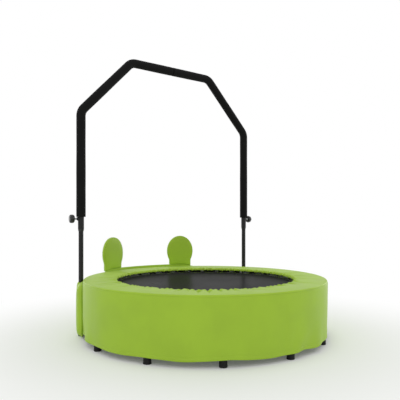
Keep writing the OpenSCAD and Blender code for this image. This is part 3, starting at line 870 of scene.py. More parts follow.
class Pillow:
    """A sewn pad over a grid of (across, up) places: two faces, and a gusset between two seams."""

    GUSSET_RINGS = 2

    def __init__(self, name, plan, back, front, seams, edge, swell=0.5 * MM, crisp=False, footed=False):
        """back, front and seams are depths; a face is full from a distance of edge inside the outline.

        crisp makes a face rise at once from its seam, and footed leaves the base unrounded."""
        self.rows, self.cols = plan.shape[:2]
        self.flat = plan.reshape(-1, 2)
        self.loop = np.array(edge_loop(self.rows, self.cols))
        self.rim = self.flat[self.loop]
        self.nearest = np.linalg.norm(self.flat[:, None] - self.rim[None], axis=2).argmin(axis=1)
        full = self.fullness(edge, crisp, footed)
        seams = [np.array(np.broadcast_to(seam, len(self.rim))) for seam in seams]
        layers = [self.face_layer(face, seam, full, footed) for face, seam in zip((back, front), seams)]
        verts = np.vstack([layers[0], *self.gusset_rings(*seams, swell), layers[1]])
        front_start = len(verts) - len(self.flat)
        self.seams = [int(k) for k in (*self.loop, *(front_start + self.loop))]
        faces, uv = self.face_quads(front_start)
        sides, side_uv = self.gusset_quads(verts, front_start)
        mesh = bpy.data.meshes.new(name)
        mesh.from_pydata(verts.tolist(), [], [tuple(int(k) for k in face) for face in faces + sides])
        uv = np.array(uv + side_uv, np.float32)
        mesh.uv_layers.new(name="UVMap").data.foreach_set("uv", uv.ravel())
        smooth_outward(mesh)
        self.piece = link_piece(name, mesh, "green_fabric")

    def fullness(self, edge, crisp, footed):
        """How far a face has risen from its seam at each place, from 0 to 1."""
        rim = np.vstack([self.rim[self.cols - 1:], self.rim[:1]]) if footed else self.rim
        gap = np.linalg.norm(self.flat[:, None] - rim[None], axis=2).min(axis=1)
        if crisp:
            return 1 - np.exp(-gap / edge)
        return np.sin(np.clip(gap / edge, 0, 1) * math.pi / 2)

    def face_layer(self, face, seam, full, footed):
        """Places of a face, from its seam to its full depth. Along a footed base the seam goes there too."""
        depth = np.broadcast_to(np.ravel(face), len(self.flat))
        if footed:
            base = self.loop[:self.cols]
            seam[:self.cols] += (depth[base] - seam[:self.cols]) * full[base]
        start = seam[self.nearest]
        return np.insert(self.flat, 1, start + (depth - start) * full, axis=1)

    def gusset_rings(self, seam_back, seam_front, swell):
        """Rings of places between the two seams, which stand out by swell at most."""
        for t in np.linspace(0, 1, self.GUSSET_RINGS + 2)[1:-1]:
            ring = self.rim + edge_normals(self.rim) * swell * math.sin(t * math.pi)
            yield np.insert(ring, 1, seam_back + (seam_front - seam_back) * t, axis=1)

    def face_quads(self, front_start):
        """Quads of both faces with their UV places."""
        faces, uv = [], []
        for start in (0, front_start):
            for i in range(self.rows - 1):
                for j in range(self.cols - 1):
                    k = i * self.cols + j
                    quad = (k, k + 1, k + self.cols + 1, k + self.cols)
                    faces.append(tuple(start + n for n in quad))
                    uv += [tuple(self.flat[n]) for n in quad]
        return faces, uv

    def gusset_quads(self, verts, front_start):
        """Quads of the gusset with their UV places."""
        faces, uv = [], []
        count = len(self.loop)
        rings = [len(self.flat) + n * count + np.arange(count) for n in range(self.GUSSET_RINGS)]
        levels = [self.loop, *rings, front_start + self.loop]
        arc = run_along(np.vstack([self.rim, self.rim[:1]]))
        for low, high in zip(levels, levels[1:]):
            for j in range(count):
                k = (j + 1) % count
                faces.append((low[j], low[k], high[k], high[j]))
                bottom, up = verts[low[j], 1], verts[high[j], 1]
                uv += [(arc[j], bottom), (arc[j + 1], bottom), (arc[j + 1], up), (arc[j], up)]
        return faces, uv

    def puff_up(self, pressure, cap):
        """Inflates the pad by a short cloth simulation with its seams held, by no more than cap."""
        piece = self.piece
        rest = places_of(piece.data)
        held = piece.vertex_groups.new(name="seams")
        held.add(self.seams, 1.0, "REPLACE")
        cloth = piece.modifiers.new("Cloth", "CLOTH")
        cloth.settings.quality = 6
        cloth.settings.mass = 0.3
        cloth.settings.tension_stiffness = 12
        cloth.settings.compression_stiffness = 12
        cloth.settings.bending_stiffness = 0.6
        cloth.settings.use_pressure = True
        cloth.settings.uniform_pressure_force = pressure
        cloth.settings.vertex_group_mass = "seams"
        cloth.settings.effector_weights.gravity = 0
        cloth.collision_settings.use_collision = False
        scene, last_step = bpy.context.scene, 20
        for step in range(1, last_step + 1):
            scene.frame_set(step)
        swollen = evaluated_mesh(piece)
        moved = places_of(swollen) - rest
        far = np.linalg.norm(moved, axis=1, keepdims=True)
        moved *= np.minimum(1, cap / np.maximum(far, 1e-9))
        bpy.data.meshes.remove(swollen)
        piece.modifiers.clear()
        piece.vertex_groups.clear()
        set_places(piece.data, rest + moved)
        scene.frame_set(1)

    def settle(self, place, node):
        """Adds one subdivision, moves the pad to its place and hands it over for a node."""
        piece = self.piece
        finer = piece.modifiers.new("Subdivision", "SUBSURF")
        finer.levels = finer.render_levels = 1
        mesh = evaluated_mesh(piece)
        piece.modifiers.clear()
        set_places(mesh, place(places_of(mesh)))
        mesh.update()
        smooth_outward(mesh)
        mesh.name = piece.name
        piece.data = mesh
        hand_over(piece, "root", "green_fabric", node)


def at_azimuth(angle, radius):
    """Places local (across, depth, up) on a plane that faces outwards at an angle of the ring."""
    cosine, sine = math.cos(angle), math.sin(angle)
    centre = radius * np.array([cosine, sine, 0])
    axes = np.array([(-sine, cosine, 0), (cosine, sine, 0), (0, 0, 1)])

    def place(local):
        return centre + local @ axes

    return place


def round_the_skirt(angle, radius):
    """Places local (across, depth, up) on a cylinder, bent round the ring."""

    def place(local):
        turn = angle + local[:, 0] / radius
        return polar(radius + local[:, 1], turn, local[:, 2])

    return place


# ---------------------------------------------------------------- the cover


def cover_profile(corner):
    """(radius, height) along the cover's top, from its outer seam over the lip to the hem."""
    seam_z = RIM_TOP - corner - SEAM_DROP
    rows = [(COVER_R - 0.9 * MM, seam_z - 0.4 * MM), (COVER_R - 0.3 * MM, seam_z + 0.5 * MM),
            (COVER_R, seam_z + 1.4 * MM)]
    for t in np.linspace(0, 1, 6):
        turn = t * math.pi / 2
        rows.append((COVER_R - corner + corner * math.cos(turn), RIM_TOP - corner + corner * math.sin(turn)))
    flat_end = OPENING_R + LIP_R
    for r in np.linspace(COVER_R - corner, flat_end, 26)[1:]:
        rows.append((r, RIM_TOP))
    for t in np.linspace(0, 1, 7)[1:]:
        turn = math.pi / 2 + t * math.pi / 2
        rows.append((flat_end + LIP_R * math.cos(turn), RIM_TOP - LIP_R + LIP_R * math.sin(turn)))
    under = RIM_TOP - LIP_R - HEM_Z
    for t in np.radians((14, 28, 42, 56, 70)):
        rows.append((OPENING_R + under * (1 - math.cos(t)), RIM_TOP - LIP_R - under * math.sin(t)))
    for out, up in ((-0.6, 0.2), (0.7, 1.2), (0.4, 3.2)):
        rows.append((OPENING_R + under + out * MM, HEM_Z + up * MM))
    return np.array(rows)


class Gathers:
    """Folds of one kind that the elastic draws into the cover's top."""

    WIDENING = 0.12

    def __init__(self, count, depth, width, reach, seed, skew=4.0):
        """width and reach are ranges: the fold's half width at the hem, and its share of the band."""
        dice = np.random.default_rng(seed)
        self.angle = (np.arange(count) + dice.uniform(-0.36, 0.36, count)) * 360 / count
        self.depth = depth * dice.uniform(0.3, 1, count)
        self.reach = (reach[0] + (reach[1] - reach[0]) * dice.uniform(0, 1, count) ** 1.5) * TOP_BAND
        self.width = dice.uniform(*width, count)
        self.skew = dice.normal(0, skew, count)

    def depth_at(self, angle, radius, out):
        """How deep the cloth is drawn in. angle in degrees, out is the distance from the opening's edge."""
        sunk = np.zeros(np.broadcast(angle, radius).shape)
        outward = np.clip(out, 0, None)
        folds = zip(self.angle, self.depth, self.reach, self.width, self.skew)
        for centre, depth, reach, width, skew in folds:
            across = np.radians(turn_between(angle, centre + skew * outward / TOP_BAND)) * radius
            wide = width + self.WIDENING * outward
            fade = np.clip(1 - outward / reach, 0, 1) ** 1.3
            groove = np.exp(-((across / wide) ** 2)) - 0.4 * np.exp(-(((across - 1.9 * wide) / wide) ** 2))
            sunk += depth * fade * groove
        return sunk


# Long creases of the top: azimuth at the edge and turn on the way out in degrees, depth and half width in
# millimetres, and share of the band.
CREASES = (
    (169.5, 8, 8.0, 5.0, 1.05), (176, 6, 4.2, 4.0, 0.9), (186, 5, 4.0, 4.0, 0.8), (160, 7, 2.2, 3.5, 0.8),
    (300, -6, 2.4, 4.0, 0.9), (318, -5, 2.0, 4.0, 0.8), (345, -6, 2.6, 4.0, 0.9), (258, -3, 1.8, 4.0, 0.7),
)
# Hollows behind the edge that narrow outwards: azimuth in degrees, depth and half width in millimetres.
HOLLOWS = (
    (220.1, 6.0, 9), (224.5, 3.2, 7), (230.1, 8.4, 10), (235.2, 9.0, 11), (240.6, 7.6, 9),
    (244.5, 3.2, 7), (248.5, 5.6, 9), (213, 2.6, 7), (256, 2.6, 7), (203, 3.0, 8), (268, 2.8, 8),
    (287, 3.0, 8), (190, 2.8, 8), (30, 3.4, 8), (57, 3.0, 8), (88, 3.4, 9), (121, 3.2, 8), (148, 3.0, 8),
    (331, 3.2, 8),
)
HOLLOW_REACH = 78 * MM


def creased(degrees, radius, out):
    """How deep the creases and the hollows are at an angle and a distance from the opening's edge."""
    sunk = 0
    outward = np.clip(out, 0, None)
    for azimuth, turn, depth, half, reach in CREASES:
        across = np.radians(turn_between(degrees, azimuth + turn * outward / TOP_BAND)) * radius
        fade = np.clip(1 - outward / (reach * TOP_BAND), 0, 1) ** 0.7
        sunk = sunk + depth * MM * fade * np.exp(-((across / (half * MM + 0.05 * outward)) ** 2))
    behind = smooth_step(out, 8 * MM, 20 * MM) * np.clip(1.2 - out / HOLLOW_REACH, 0, 1)
    for azimuth, depth, half in HOLLOWS:
        across = np.radians(turn_between(degrees, azimuth)) * radius
        wide = half * MM * np.clip(1.1 - out / HOLLOW_REACH, 0.15, 1)
        sunk = sunk + depth * MM * behind * np.exp(-((across / wide) ** 2))
    return sunk


def soft_waves(angle, phase, counts, weights):
    """A gentle wave round the ring from a few whole counts."""
    waves = enumerate(zip(counts, weights), 1)
    return sum(weight * np.cos(np.radians(angle * count) + phase * i) for i, (count, weight) in waves)


def cover_top():
    """The cover's flat top, gathered along its elastic."""
    cover = settings().cover
    profile = cover_profile(cover.corner)
    degrees = ring_degrees(TOP_COLUMNS)
    radius, z = profile[:, :1], profile[:, 1:]
    tangent = np.gradient(profile, axis=0)
    normal = np.stack([-tangent[:, 1], tangent[:, 0]], axis=1)
    normal /= np.linalg.norm(normal, axis=1, keepdims=True)
    normal *= np.sign(normal[len(profile) // 2, 1])
    out = radius - OPENING_R
    inside = (np.arange(len(profile)) > len(profile) // 2)[:, None] & (z < RIM_TOP - 6 * MM)
    out = np.where(inside, 0, out)
    gathers = Gathers(cover.pleats, cover.pleat_depth, (2.6 * MM, 5.5 * MM), (0.1, 0.4), 11)
    wrinkles = Gathers(cover.pleats // 2, 0.45 * cover.pleat_depth, (6 * MM, 11 * MM), (0.4, 1.2), 5, 6.0)
    sunk = gathers.depth_at(degrees, radius, out) + wrinkles.depth_at(degrees, radius, out)
    sunk = sunk + creased(degrees, radius, out)
    share = np.clip((COVER_R - radius) / TOP_BAND, 0, 1)
    swell = cover.puff * np.sin(np.clip(share * 1.08, 0, 1) * math.pi) ** 0.7
    ruffle = 1.6 * MM * np.exp(-(((out - 5 * MM) / (6 * MM)) ** 2)) * (share > 0.5)
    waves = 0.8 * MM * soft_waves(degrees, 1.7, (5, 11, 23), (1, 0.7, 0.5)) * np.sin(share * math.pi)
    wall = smooth_step(-z, -RIM_TOP + 2 * MM, -RIM_TOP + 8 * MM) * (radius < OPENING_R + 8 * MM)
    crimp = 1.1 * MM * wall * soft_waves(degrees, 2.1, (2 * cover.pleats, 151, 63), (0.7, 0.6, 0.5))
    offset = swell + ruffle + waves + crimp - sunk * smooth_step(share, 0.02, 0.3)
    hem = inside & (z < HEM_Z + 1.0 * MM)
    lift = np.where(hem, 0.5 * MM * soft_waves(degrees, 0.9, (47, 94, 31), (0.5, 0.6, 0.5)), 0)
    z = z + offset * normal[:, 1:] + lift
    points = polar(radius + offset * normal[:, :1], np.radians(degrees), z)
    piece = cloth_shell("cover_top_cloth", points, 1.2 * MM, "green_fabric")
    hand_over(piece, "root", "green_fabric", "cover_top")
    cut_r, hole_r = COVER_R + 10 * MM, OPENING_R - 14 * MM
    area = math.pi * (cut_r ** 2 - hole_r ** 2)
    2 * cut_r
    2 * cut_r


# Folds of the skirt: azimuth and half width in degrees, how far out and how high in millimetres, and how
# many degrees it leans.
SKIRT_FOLDS = (
    (172, 4.5, 6.0, 70, 1), (163, 4.0, -8.0, 70, 0), (287, 4.2, 8.0, 180, 3), (309, 6.0, -5.0, 140, 0),
    (271.5, 3.2, 4.4, 150, 12), (277, 4.0, -3.2, 110, 10), (196, 9, 3.0, 120, -3), (224, 8, 2.2, 150, 4),
    (233, 6, -1.6, 120, 4), (255, 8, -2.2, 150, -4), (205, 6, -2.0, 120, -3),
    (320, 7, 4.5, 110, -4), (343, 6, 4.0, 130, 3), (352, 6, -3.5, 110, 3), (6, 7, 4.0, 120, -3),
    (44, 5, 4.0, 110, 4), (52, 5, -3.0, 90, 3), (73, 7, 4.2, 120, -3), (82, 5, -3.0, 100, -2),
    (103, 7, 3.6, 120, 3), (112, 5, -3.0, 90, 3), (133, 5, 4.0, 110, -4),
)
# Where the hem is drawn up: azimuth and half width in degrees, and height in millimetres.
HEM_LIFTS = ((243, 10, 4.5), (276.5, 5, 3.5), (165, 5, 3.0), (293, 5, 4.5), (212, 8, 2.0), (186, 6, 2.0),
             (334, 8, 3.5), (14, 7, 3.0), (62, 8, 3.5), (93, 8, 3.0), (122, 8, 3.5), (255, 7, -1.5))


def skirt_offset(degrees, height):
    """How far the skirt stands out from its cylinder at an angle and a height above the hem."""
    out = 0.7 * MM * soft_waves(degrees, 2.3, (7, 16, 29), (1, 0.8, 0.4))
    out = out * smooth_step(height, 210 * MM, 120 * MM)
    for azimuth, half, amount, tall, leans in SKIRT_FOLDS:
        up = np.clip(height / (tall * MM), 0, 1)
        away = turn_between(degrees, azimuth + leans * up)
        out = out + amount * MM * np.exp(-((away / (half * (1 + 0.6 * up))) ** 2)) * (1 - up) ** 1.6
    leg_step = 360 / LEG_COUNT
    near_leg = np.minimum(degrees % leg_step, leg_step - degrees % leg_step)
    inward = np.minimum(out, 0) * smooth_step(near_leg, 2.0, 5.0)
    outward = np.maximum(out, 0)
    near_post = np.minimum(*(np.abs(turn_between(degrees, at)) for at in (POST_ANGLE, 180 - POST_ANGLE)))
    return inward + outward * smooth_step(near_post, 9, 13)


def skirt_lift(degrees):
    """How far the hem is drawn up."""
    lift = 0.8 * MM * soft_waves(degrees, 0.4, (12, 31), (1, 0.4))
    for azimuth, half, amount in HEM_LIFTS:
        lift = lift + amount * MM * np.exp(-((turn_between(degrees, azimuth) / half) ** 2))
    return lift


def cover_skirt():
    """The skirt, hanging from the rim in soft folds to its turned hem."""
    cover = settings().cover
    tall = RIM_TOP - cover.corner - SEAM_DROP - SKIRT_HEM
    hem_fold = 12 * MM
    heights = np.concatenate([
        [tall, tall - 0.6 * MM, tall - 1.6 * MM, tall - 3.5 * MM],
        np.linspace(tall - 8 * MM, hem_fold + 3 * MM, 34),
        [hem_fold + 1 * MM, hem_fold, hem_fold - 1.2 * MM],
        np.linspace(hem_fold - 4 * MM, 1.2 * MM, 3), [0.4 * MM, 0]])[:, None]
    degrees = ring_degrees(RING_COLUMNS)
    tucked = np.where(heights > tall - 1 * MM, (heights - tall + 1 * MM) * 0.8, 0)
    hem_step = 0.45 * MM * smooth_step(-heights, -hem_fold, -hem_fold + 1.4 * MM)
    pinch = 0.35 * MM * np.exp(-(((heights - hem_fold - 0.4 * MM) / (1.0 * MM)) ** 2))
    rolled = np.where(heights < 0.5 * MM, 0.5 * MM, 0) * (1 - heights / (0.5 * MM))
    radius = COVER_R + skirt_offset(degrees, heights) - tucked + hem_step - pinch - rolled
    z = SKIRT_HEM + heights + skirt_lift(degrees) * smooth_step(-heights, -0.6 * tall, 0)
    points = polar(radius, np.radians(degrees), z)
    piece = cloth_shell("cover_skirt_cloth", points, 1.3 * MM, "green_fabric")
    hand_over(piece, "root", "green_fabric", "cover_skirt")
    for name, at in (("rim_seam_stitches", tall - 3.5 * MM), ("skirt_hem_stitches", hem_fold + 0.2 * MM)):
        row = int(np.argmin(np.abs(heights[:, 0] - at)))
        line = points[row] * np.array([1 + 0.1 * MM / COVER_R] * 2 + [1])
        sew(name, line, closed=True)


class TRAMPOLINE_OT_cover(bpy.types.Operator):
    """Makes the cover's top, its foam and its elastic"""

    bl_idname = "trampoline.cover"
    bl_label = "Cover Top"

    def execute(self, context):
        rim_foam()
        cover_top()
        hem_elastic()
        return {"FINISHED"}


class TRAMPOLINE_OT_skirt(bpy.types.Operator):
    """Makes the skirt with its seams"""

    bl_idname = "trampoline.skirt"
    bl_label = "Skirt"

    def execute(self, context):
        cover_skirt()
        return {"FINISHED"}


def rim_foam():
    """The foam ring between the frame and the cover's top, in eight glued lengths."""
    air, soft, lengths = 1.2 * MM, 3.5 * MM, 8
    outer, low, high = FOAM_HIGH.x - air, FOAM_LOW.z, FOAM_HIGH.z - air
    inner = OPENING_R + RIM_TOP - LIP_BOTTOM - 0.5 * MM
    middle = (inner + outer) / 2
    corners = [(middle, low), (outer, low), (outer, high), (inner, high), (inner, low), (middle, low)]
    loop = rounded(corners, soft, 4)[:-1]
    degrees = ring_degrees(RING_COLUMNS)
    joint = np.exp(-((turn_between(degrees * lengths % 360, 180) / lengths / 0.4) ** 2))
    radius, z = loop[:, :1], loop[:, 1:]
    pressed = 3.2 * MM * smooth_step(-radius, -inner - 50 * MM, -inner)
    pressed = pressed + 1.2 * creased(degrees, radius, radius - OPENING_R)
    pressed = pressed + 2 * MM * smooth_step(radius, outer - 14 * MM, outer)
    points = polar(middle + (radius - middle) * (1 - 0.01 * joint), np.radians(degrees),
                   z - (z > low + soft) * (1.2 * MM * joint + pressed))
    piece = grid_piece("rim_foam", points, "pad_foam", ring_uv(points), closed=True)
    hand_over(piece, "root", "pad_foam", "foam_ring")


def hem_elastic():
    """The elastic in the hem, pulled thin and a little wavy."""
    height = (ELASTIC_LOW.z + ELASTIC_HIGH.z) / 2 - 0.5 * MM
    degrees = ring_degrees(COARSE_COLUMNS)[0]
    behind_lip, waves = 4.2 * MM, 47
    radius = OPENING_R + behind_lip + 0.3 * MM * np.cos(np.radians(degrees * waves))
    path = polar(radius, np.radians(degrees), height)
    section = circle_section(0.8 * ELASTIC_D / 2, 10)
    outward = path * [1, 1, 0] / np.linalg.norm(path * [1, 1, 0], axis=1, keepdims=True)
    points = path[:, None] + section[None, :, :1] * outward[:, None] + section[None, :, 1:] * [0, 0, 1]
    piece = grid_piece("hem_elastic_cord", points, "elastic", None, closed=True)
    hand_over(piece, "root", "elastic", "hem_elastic")


# ---------------------------------------------------------------- ears, band and side pads


def ear_plan(half, neck, foot, top, middle, fall):
    """Places within an ear: a round head that narrows over fall to its foot, whose height is a function."""
    start, shoulder = -math.acos(neck / half), 62
    rise = top - middle
    turn = np.linspace(start, math.radians(shoulder), 40)
    tall = np.where(turn < 0, fall, rise)
    head = list(zip(half * np.cos(turn), middle + tall * np.sin(turn)))
    over = np.linspace(math.radians(180 - shoulder), math.radians(shoulder), 40)
    crown = spread(np.stack([half * np.cos(over), middle + rise * np.sin(over)], axis=1), 14)
    base = spread([(x, foot(x)) for x in np.linspace(-neck, neck, 15)], 14)
    sides = []
    for sign, corner in ((1, base[-1]), (-1, base[0])):
        waist = (neck, corner[1] + 0.3 * (head[0][1] - corner[1]))
        line = [(neck, corner[1]), waist, *head]
        sides.append(spread(rounded(line, 20 * MM, 10), 34) * [sign, 1])
    return fill_outline(base, sides[0], crown, sides[1])


def box_plan(width, low, high, corner, across, upward):
    """Places within a rounded rectangle, its corners shared between the sides."""
    half, middle, tall = width / 2 - corner, (low + high) / 2, (high - low) / 2 - corner
    turn = np.radians(np.linspace(0, 45, 8))
    arc = corner * np.stack([np.sin(turn), np.cos(turn)], axis=1)
    crown = np.vstack([arc[::-1] * [-1, 1] + [-half, tall], arc + [half, tall]])
    side = np.vstack([arc[:, ::-1][::-1] * [1, -1] + [half, -tall], arc[:, ::-1] + [half, tall]])
    crown, side = spread(crown, across), spread(side, upward)
    lift = np.array([0, middle])
    return fill_outline(crown * [1, -1] + lift, side + lift, crown + lift, side * [-1, 1] + lift)


def inset_line(rim, distance):
    """The outline moved inwards by a distance."""
    return rim - edge_normals(rim) * distance


class TRAMPOLINE_OT_ears(bpy.types.Operator):
    """Makes the two padded ears and the band that carries them"""

    bl_idname = "trampoline.ears"
    bl_label = "Ears"

    def execute(self, context):
        radius = (BAND_INNER + BAND_HIGH.y) / 2
        face = EAR_THICK / 2 - 1.0 * MM
        seam = face - 2.6 * MM
        for turn, name in EAR_TURNS:
            place = at_azimuth(math.radians(90 + turn), radius)

            def foot(across):
                spot = place(np.array([[across, 0, 0]]))[0]
                return band_top(math.degrees(math.atan2(spot[0], spot[1]))) + 0.4 * MM

            plan = ear_plan(EAR_HALF, EAR_NECK, foot, EAR_TOP - 0.3 * MM, EAR_TOP - EAR_RISE, EAR_FALL)
            pad = Pillow(f"ear_{name}_pad", plan, -face, face, (-seam, seam), 11 * MM, swell=0.4 * MM,
                         footed=True)
            pad.puff_up(3.0, 1.6 * MM)
            pad.settle(place, f"ear_{name}")
            for label, depth in (("front", -seam), ("back", seam)):
                line = inset_line(pad.rim, 1.0 * MM)[14:]
                stitches = place(np.insert(line, 1, depth + math.copysign(0.6 * MM, depth), axis=1))
                sew(f"ear_{name}_{label}_stitches", stitches)
        self.band()
        return {"FINISHED"}

    def band(self):
        """The padded band round the back that carries the ears."""
        width = 2 * math.radians(BAND_SPAN) * BAND_INNER
        plan = box_plan(width, BAND_LOW.z, BAND_HIGH.z, 6 * MM, 120, 18)
        share = (plan[..., 1] - BAND_LOW.z) / (BAND_HIGH.z - BAND_LOW.z)
        drop = BAND_HIGH.z - band_top(np.degrees(plan[..., 0] / BAND_INNER))
        plan[..., 1] -= drop * np.clip(share, 0, 1)
        seams = (0.6 * MM, BAND_THICK - 3.4 * MM)
        pad = Pillow("ear_band_pad", plan, 0, BAND_THICK - 1.2 * MM, seams, 7 * MM)
        pad.puff_up(3.0, 1.2 * MM)
        place = round_the_skirt(math.pi / 2, BAND_INNER)
        pad.settle(place, "ear_band")
        line = inset_line(pad.rim, 7 * MM)
        sew("ear_band_stitches", place(np.insert(line, 1, BAND_THICK - 0.9 * MM, axis=1)), closed=True)


def band_top(degrees):
    """Height of the band's top at an angle from the middle of the back: it slopes down at both ends."""
    return BAND_HIGH.z - BAND_DROP * smooth_step(np.abs(degrees), BAND_SLOPE, BAND_SPAN)


class TRAMPOLINE_OT_side_pads(bpy.types.Operator):
    """Makes the two pads round the posts"""

    bl_idname = "trampoline.side_pads"
    bl_label = "Side Pads"

    def execute(self, context):
        plan = box_plan(PAD_WIDTH, PAD_LOW.z - 5 * MM, PAD_HIGH.z - 6 * MM, PAD_CORNER, 36, 48)
        radius = POST.length
        across = plan[..., 0].ravel()
        back = np.sqrt((COVER_R + 0.5 * MM) ** 2 - across ** 2) - radius
        crown = 18.2 * MM - 0.1 * np.abs(across)
        front_seam = -11.0 * MM

        def sleeve(x):
            round_post = np.sqrt(np.clip((POST_R + CLOTH_T) ** 2 - x ** 2, 0, None))
            return np.where(np.abs(x) < POST_R, round_post, front_seam)

        rim_across = plan.reshape(-1, 2)[edge_loop(*plan.shape[:2]), 0]
        seam_back = np.sqrt((COVER_R + 0.6 * MM) ** 2 - rim_across ** 2) - radius
        seam_front = np.maximum(seam_back + 3.5 * MM, sleeve(rim_across))
        front = np.maximum(crown, sleeve(across))
        for angle, name in ((POST_ANGLE, "right"), (180 - POST_ANGLE, "left")):
            pad = Pillow(f"side_pad_{name}_pad", plan, back, front, (seam_back, seam_front), 9 * MM,
                         swell=0.6 * MM, crisp=True)
            pad.puff_up(2.5, 1.2 * MM)
            place = at_azimuth(math.radians(angle), radius)
            pad.settle(place, f"side_pad_{name}")
            line = inset_line(pad.rim, -0.6 * MM)
            bead = place(np.insert(line, 1, np.minimum(seam_front, front_seam + 4 * MM), axis=1))
            cord = wire_path(f"side_pad_{name}_piping", bead, closed=True)
            run_tree(cord, "round_wire", "green_fabric", Radius=1.5 * MM, Sides=10)
            hand_over(cord, "root", "green_fabric")
        return {"FINISHED"}


# ---------------------------------------------------------------- the mat and its springs


class TRAMPOLINE_OT_mat(bpy.types.Operator):
    """Makes the jumping mat with its webbing, tabs and triangular rings"""

    bl_idname = "trampoline.mat"
    bl_label = "Jumping Mat"

    def execute(self, context):
        jumping_mat()
        edge_webbing()
        webbing_tabs()
        triangle_rings()
        return {"FINISHED"}


def mat_edge(degrees):
    """How far the mat's edge is drawn in between two tabs."""
    step = 360 / SPRING_COUNT
    return 1.4 * MM * np.sin(np.radians(turn_between(degrees, SPRING_FIRST) * 180 / step)) ** 2


def jumping_mat():
    """The taut woven mat, drawn in a little between its tabs."""
    degrees = ring_degrees(RING_COLUMNS)
    low, high = MAT_LOW.z, MAT_HIGH.z
    inner = np.linspace(40 * MM, MAT_R - 20 * MM, 14)
    radii = np.concatenate([[8 * MM], inner, [MAT_R - 8 * MM, MAT_R - 0.4 * MM]])
    share = (radii / MAT_R)[:, None] ** 6
    radius = radii[:, None] - mat_edge(degrees) * share
    top = polar(radius, np.radians(degrees), high)
    rim = polar(MAT_R - mat_edge(degrees), np.radians(degrees), (low + high) / 2)
    bottom = polar(radius, np.radians(degrees), low)[::-1]
    points = np.concatenate([top, rim, bottom])
    flat = np.concatenate([points[..., :2], points[:, :1, :2]], axis=1)
    piece = grid_piece("mat_cloth", points, "mat_mesh", flat, poles=True)
    hand_over(piece, "mat", "mat_mesh", "jumping_mat")


def edge_webbing():
    """The webbing sewn under the mat's edge, with its two rows of stitches."""
    width, soft = 14 * MM, 0.4 * MM
    high = MAT_LOW.z
    thin = high - 1.6 * MM
    degrees = ring_degrees(COARSE_COLUMNS)
    outer = MAT_R - mat_edge(degrees) - 0.3 * MM
    steps = [(-width, high), (-width, thin + soft), (-width + soft, thin), (-soft, thin), (0, thin + soft),
             (0, high)]
    points = np.array([polar(outer + across, np.radians(degrees), z)[0] for across, z in steps])
    piece = grid_piece("mat_edge_webbing", points, "webbing", ring_uv(points), closed=True)
    hand_over(piece, "mat", "webbing", "mat_webbing")
    for label, inset in (("outer", 2.5 * MM), ("inner", width - 2.5 * MM)):
        line = polar(outer[0] - inset, np.radians(degrees[0]), MAT_HIGH.z + 0.1 * MM)
        row = sew(f"mat_{label}_stitches", line, "mat", closed=True)
        row.data.materials[0] = MATERIALS["webbing"]


def webbing_tabs():
    """The folded webbing tabs that hold the triangular rings."""
    tab_low, tab_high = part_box("mat_tabs")
    wall, width = 1.2 * MM, 16 * MM
    middle = (tab_low.z + tab_high.z) / 2
    turn_r = (tab_high.z - tab_low.z) / 2 - wall / 2
    start = MAT_R - 14 * MM
    bend = tab_high.x / math.cos(math.radians(SPRING_FIRST)) - turn_r - wall
    path = [(start, turn_r), *[(r, turn_r) for r in np.linspace(start, bend, 4)[1:]]]
    path += [(bend + turn_r * math.sin(t), turn_r * math.cos(t)) for t in np.linspace(0, math.pi, 9)[1:]]
    path += [(r, -turn_r) for r in np.linspace(bend, start, 4)[1:]]
    path = np.array(path)
    spots = np.stack([path[:, 0], np.zeros(len(path)), middle + path[:, 1]], axis=1)
    edge = 0.3 * MM
    half, thick = width / 2, wall / 2
    ring = np.array([(-thick, -half + edge), (-thick, half - edge), (-thick + edge, half),
                     (thick - edge, half), (thick, half - edge), (thick, -half + edge),
                     (thick - edge, -half), (-thick + edge, -half)])
    tab = sweep(spots, ring, "mat_tab_loops", "webbing")
    run_tree(tab, "round_the_ring", "webbing", Count=SPRING_COUNT, First=math.radians(SPRING_FIRST))
    hand_over(tab, "mat", "webbing", "mat_tabs")


def triangle_rings():
    """The bent-wire triangles between the tabs and the springs."""
    low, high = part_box("v_rings")
    height = (low.z + high.z) / 2
    bar = high.z - low.z
    base, tip = RING_START + bar / 2, RING_START + RING_LONG - bar / 2
    half = 16 * MM - bar / 2
    corners = [(base, 0), (base, half), (tip, 1.5 * MM), (tip, -1.5 * MM), (base, -half), (base, 0)]
    loop = rounded(corners, 4 * MM, 5)[:-1]
    path = np.stack([loop[:, 0], loop[:, 1], np.full(len(loop), height)], axis=1)
    wire = wire_path("triangle_rings", path, closed=True)
    run_tree(wire, "round_wire", "zinc_steel", Radius=bar / 2, Sides=10)
    run_tree(wire, "round_the_ring", "zinc_steel", Count=SPRING_COUNT, First=math.radians(SPRING_FIRST))
    hand_over(wire, "mat", "zinc_steel", "v_rings")


def spring_path(coil_r, turns):
    """Centre line of a tension spring along +X: hook, coils and straight end, from the ring's axis."""
    wall = FRAME_R - TUBE_R
    hook_at, hook_r, hook_points = MAT_R + 26.8 * MM, 5.5 * MM, 14
    start, end = hook_at + hook_r + 1.5 * MM, wall - 7 * MM
    turn = np.linspace(-2.6, math.pi - 0.25, hook_points)
    hook = [hook_at - hook_r * np.cos(turn), np.zeros(hook_points), SPRING_Z + hook_r * np.sin(turn)]
    per_turn = 11
    t = np.linspace(0, 1, turns * per_turn)
    angle = t * turns * 2 * math.pi
    grow = smooth_step(t, 0, 0.05) * smooth_step(1 - t, 0, 0.05)
    radius = coil_r * (0.35 + 0.65 * grow)
    coils = [start + t * (end - start), radius * np.sin(angle), SPRING_Z + radius * np.cos(angle)]
    tail_x = np.array([end + 2 * MM, end + 6 * MM, wall + 1 * MM, wall + 5 * MM])
    tail = [tail_x, np.zeros(len(tail_x)), SPRING_Z + np.array([0.3, 0, 0, -1.5]) * MM]
    ring, coils, tail = (np.stack(part, axis=1) for part in (hook, coils, tail))
    return np.concatenate([ring, coils[1:-1], tail])


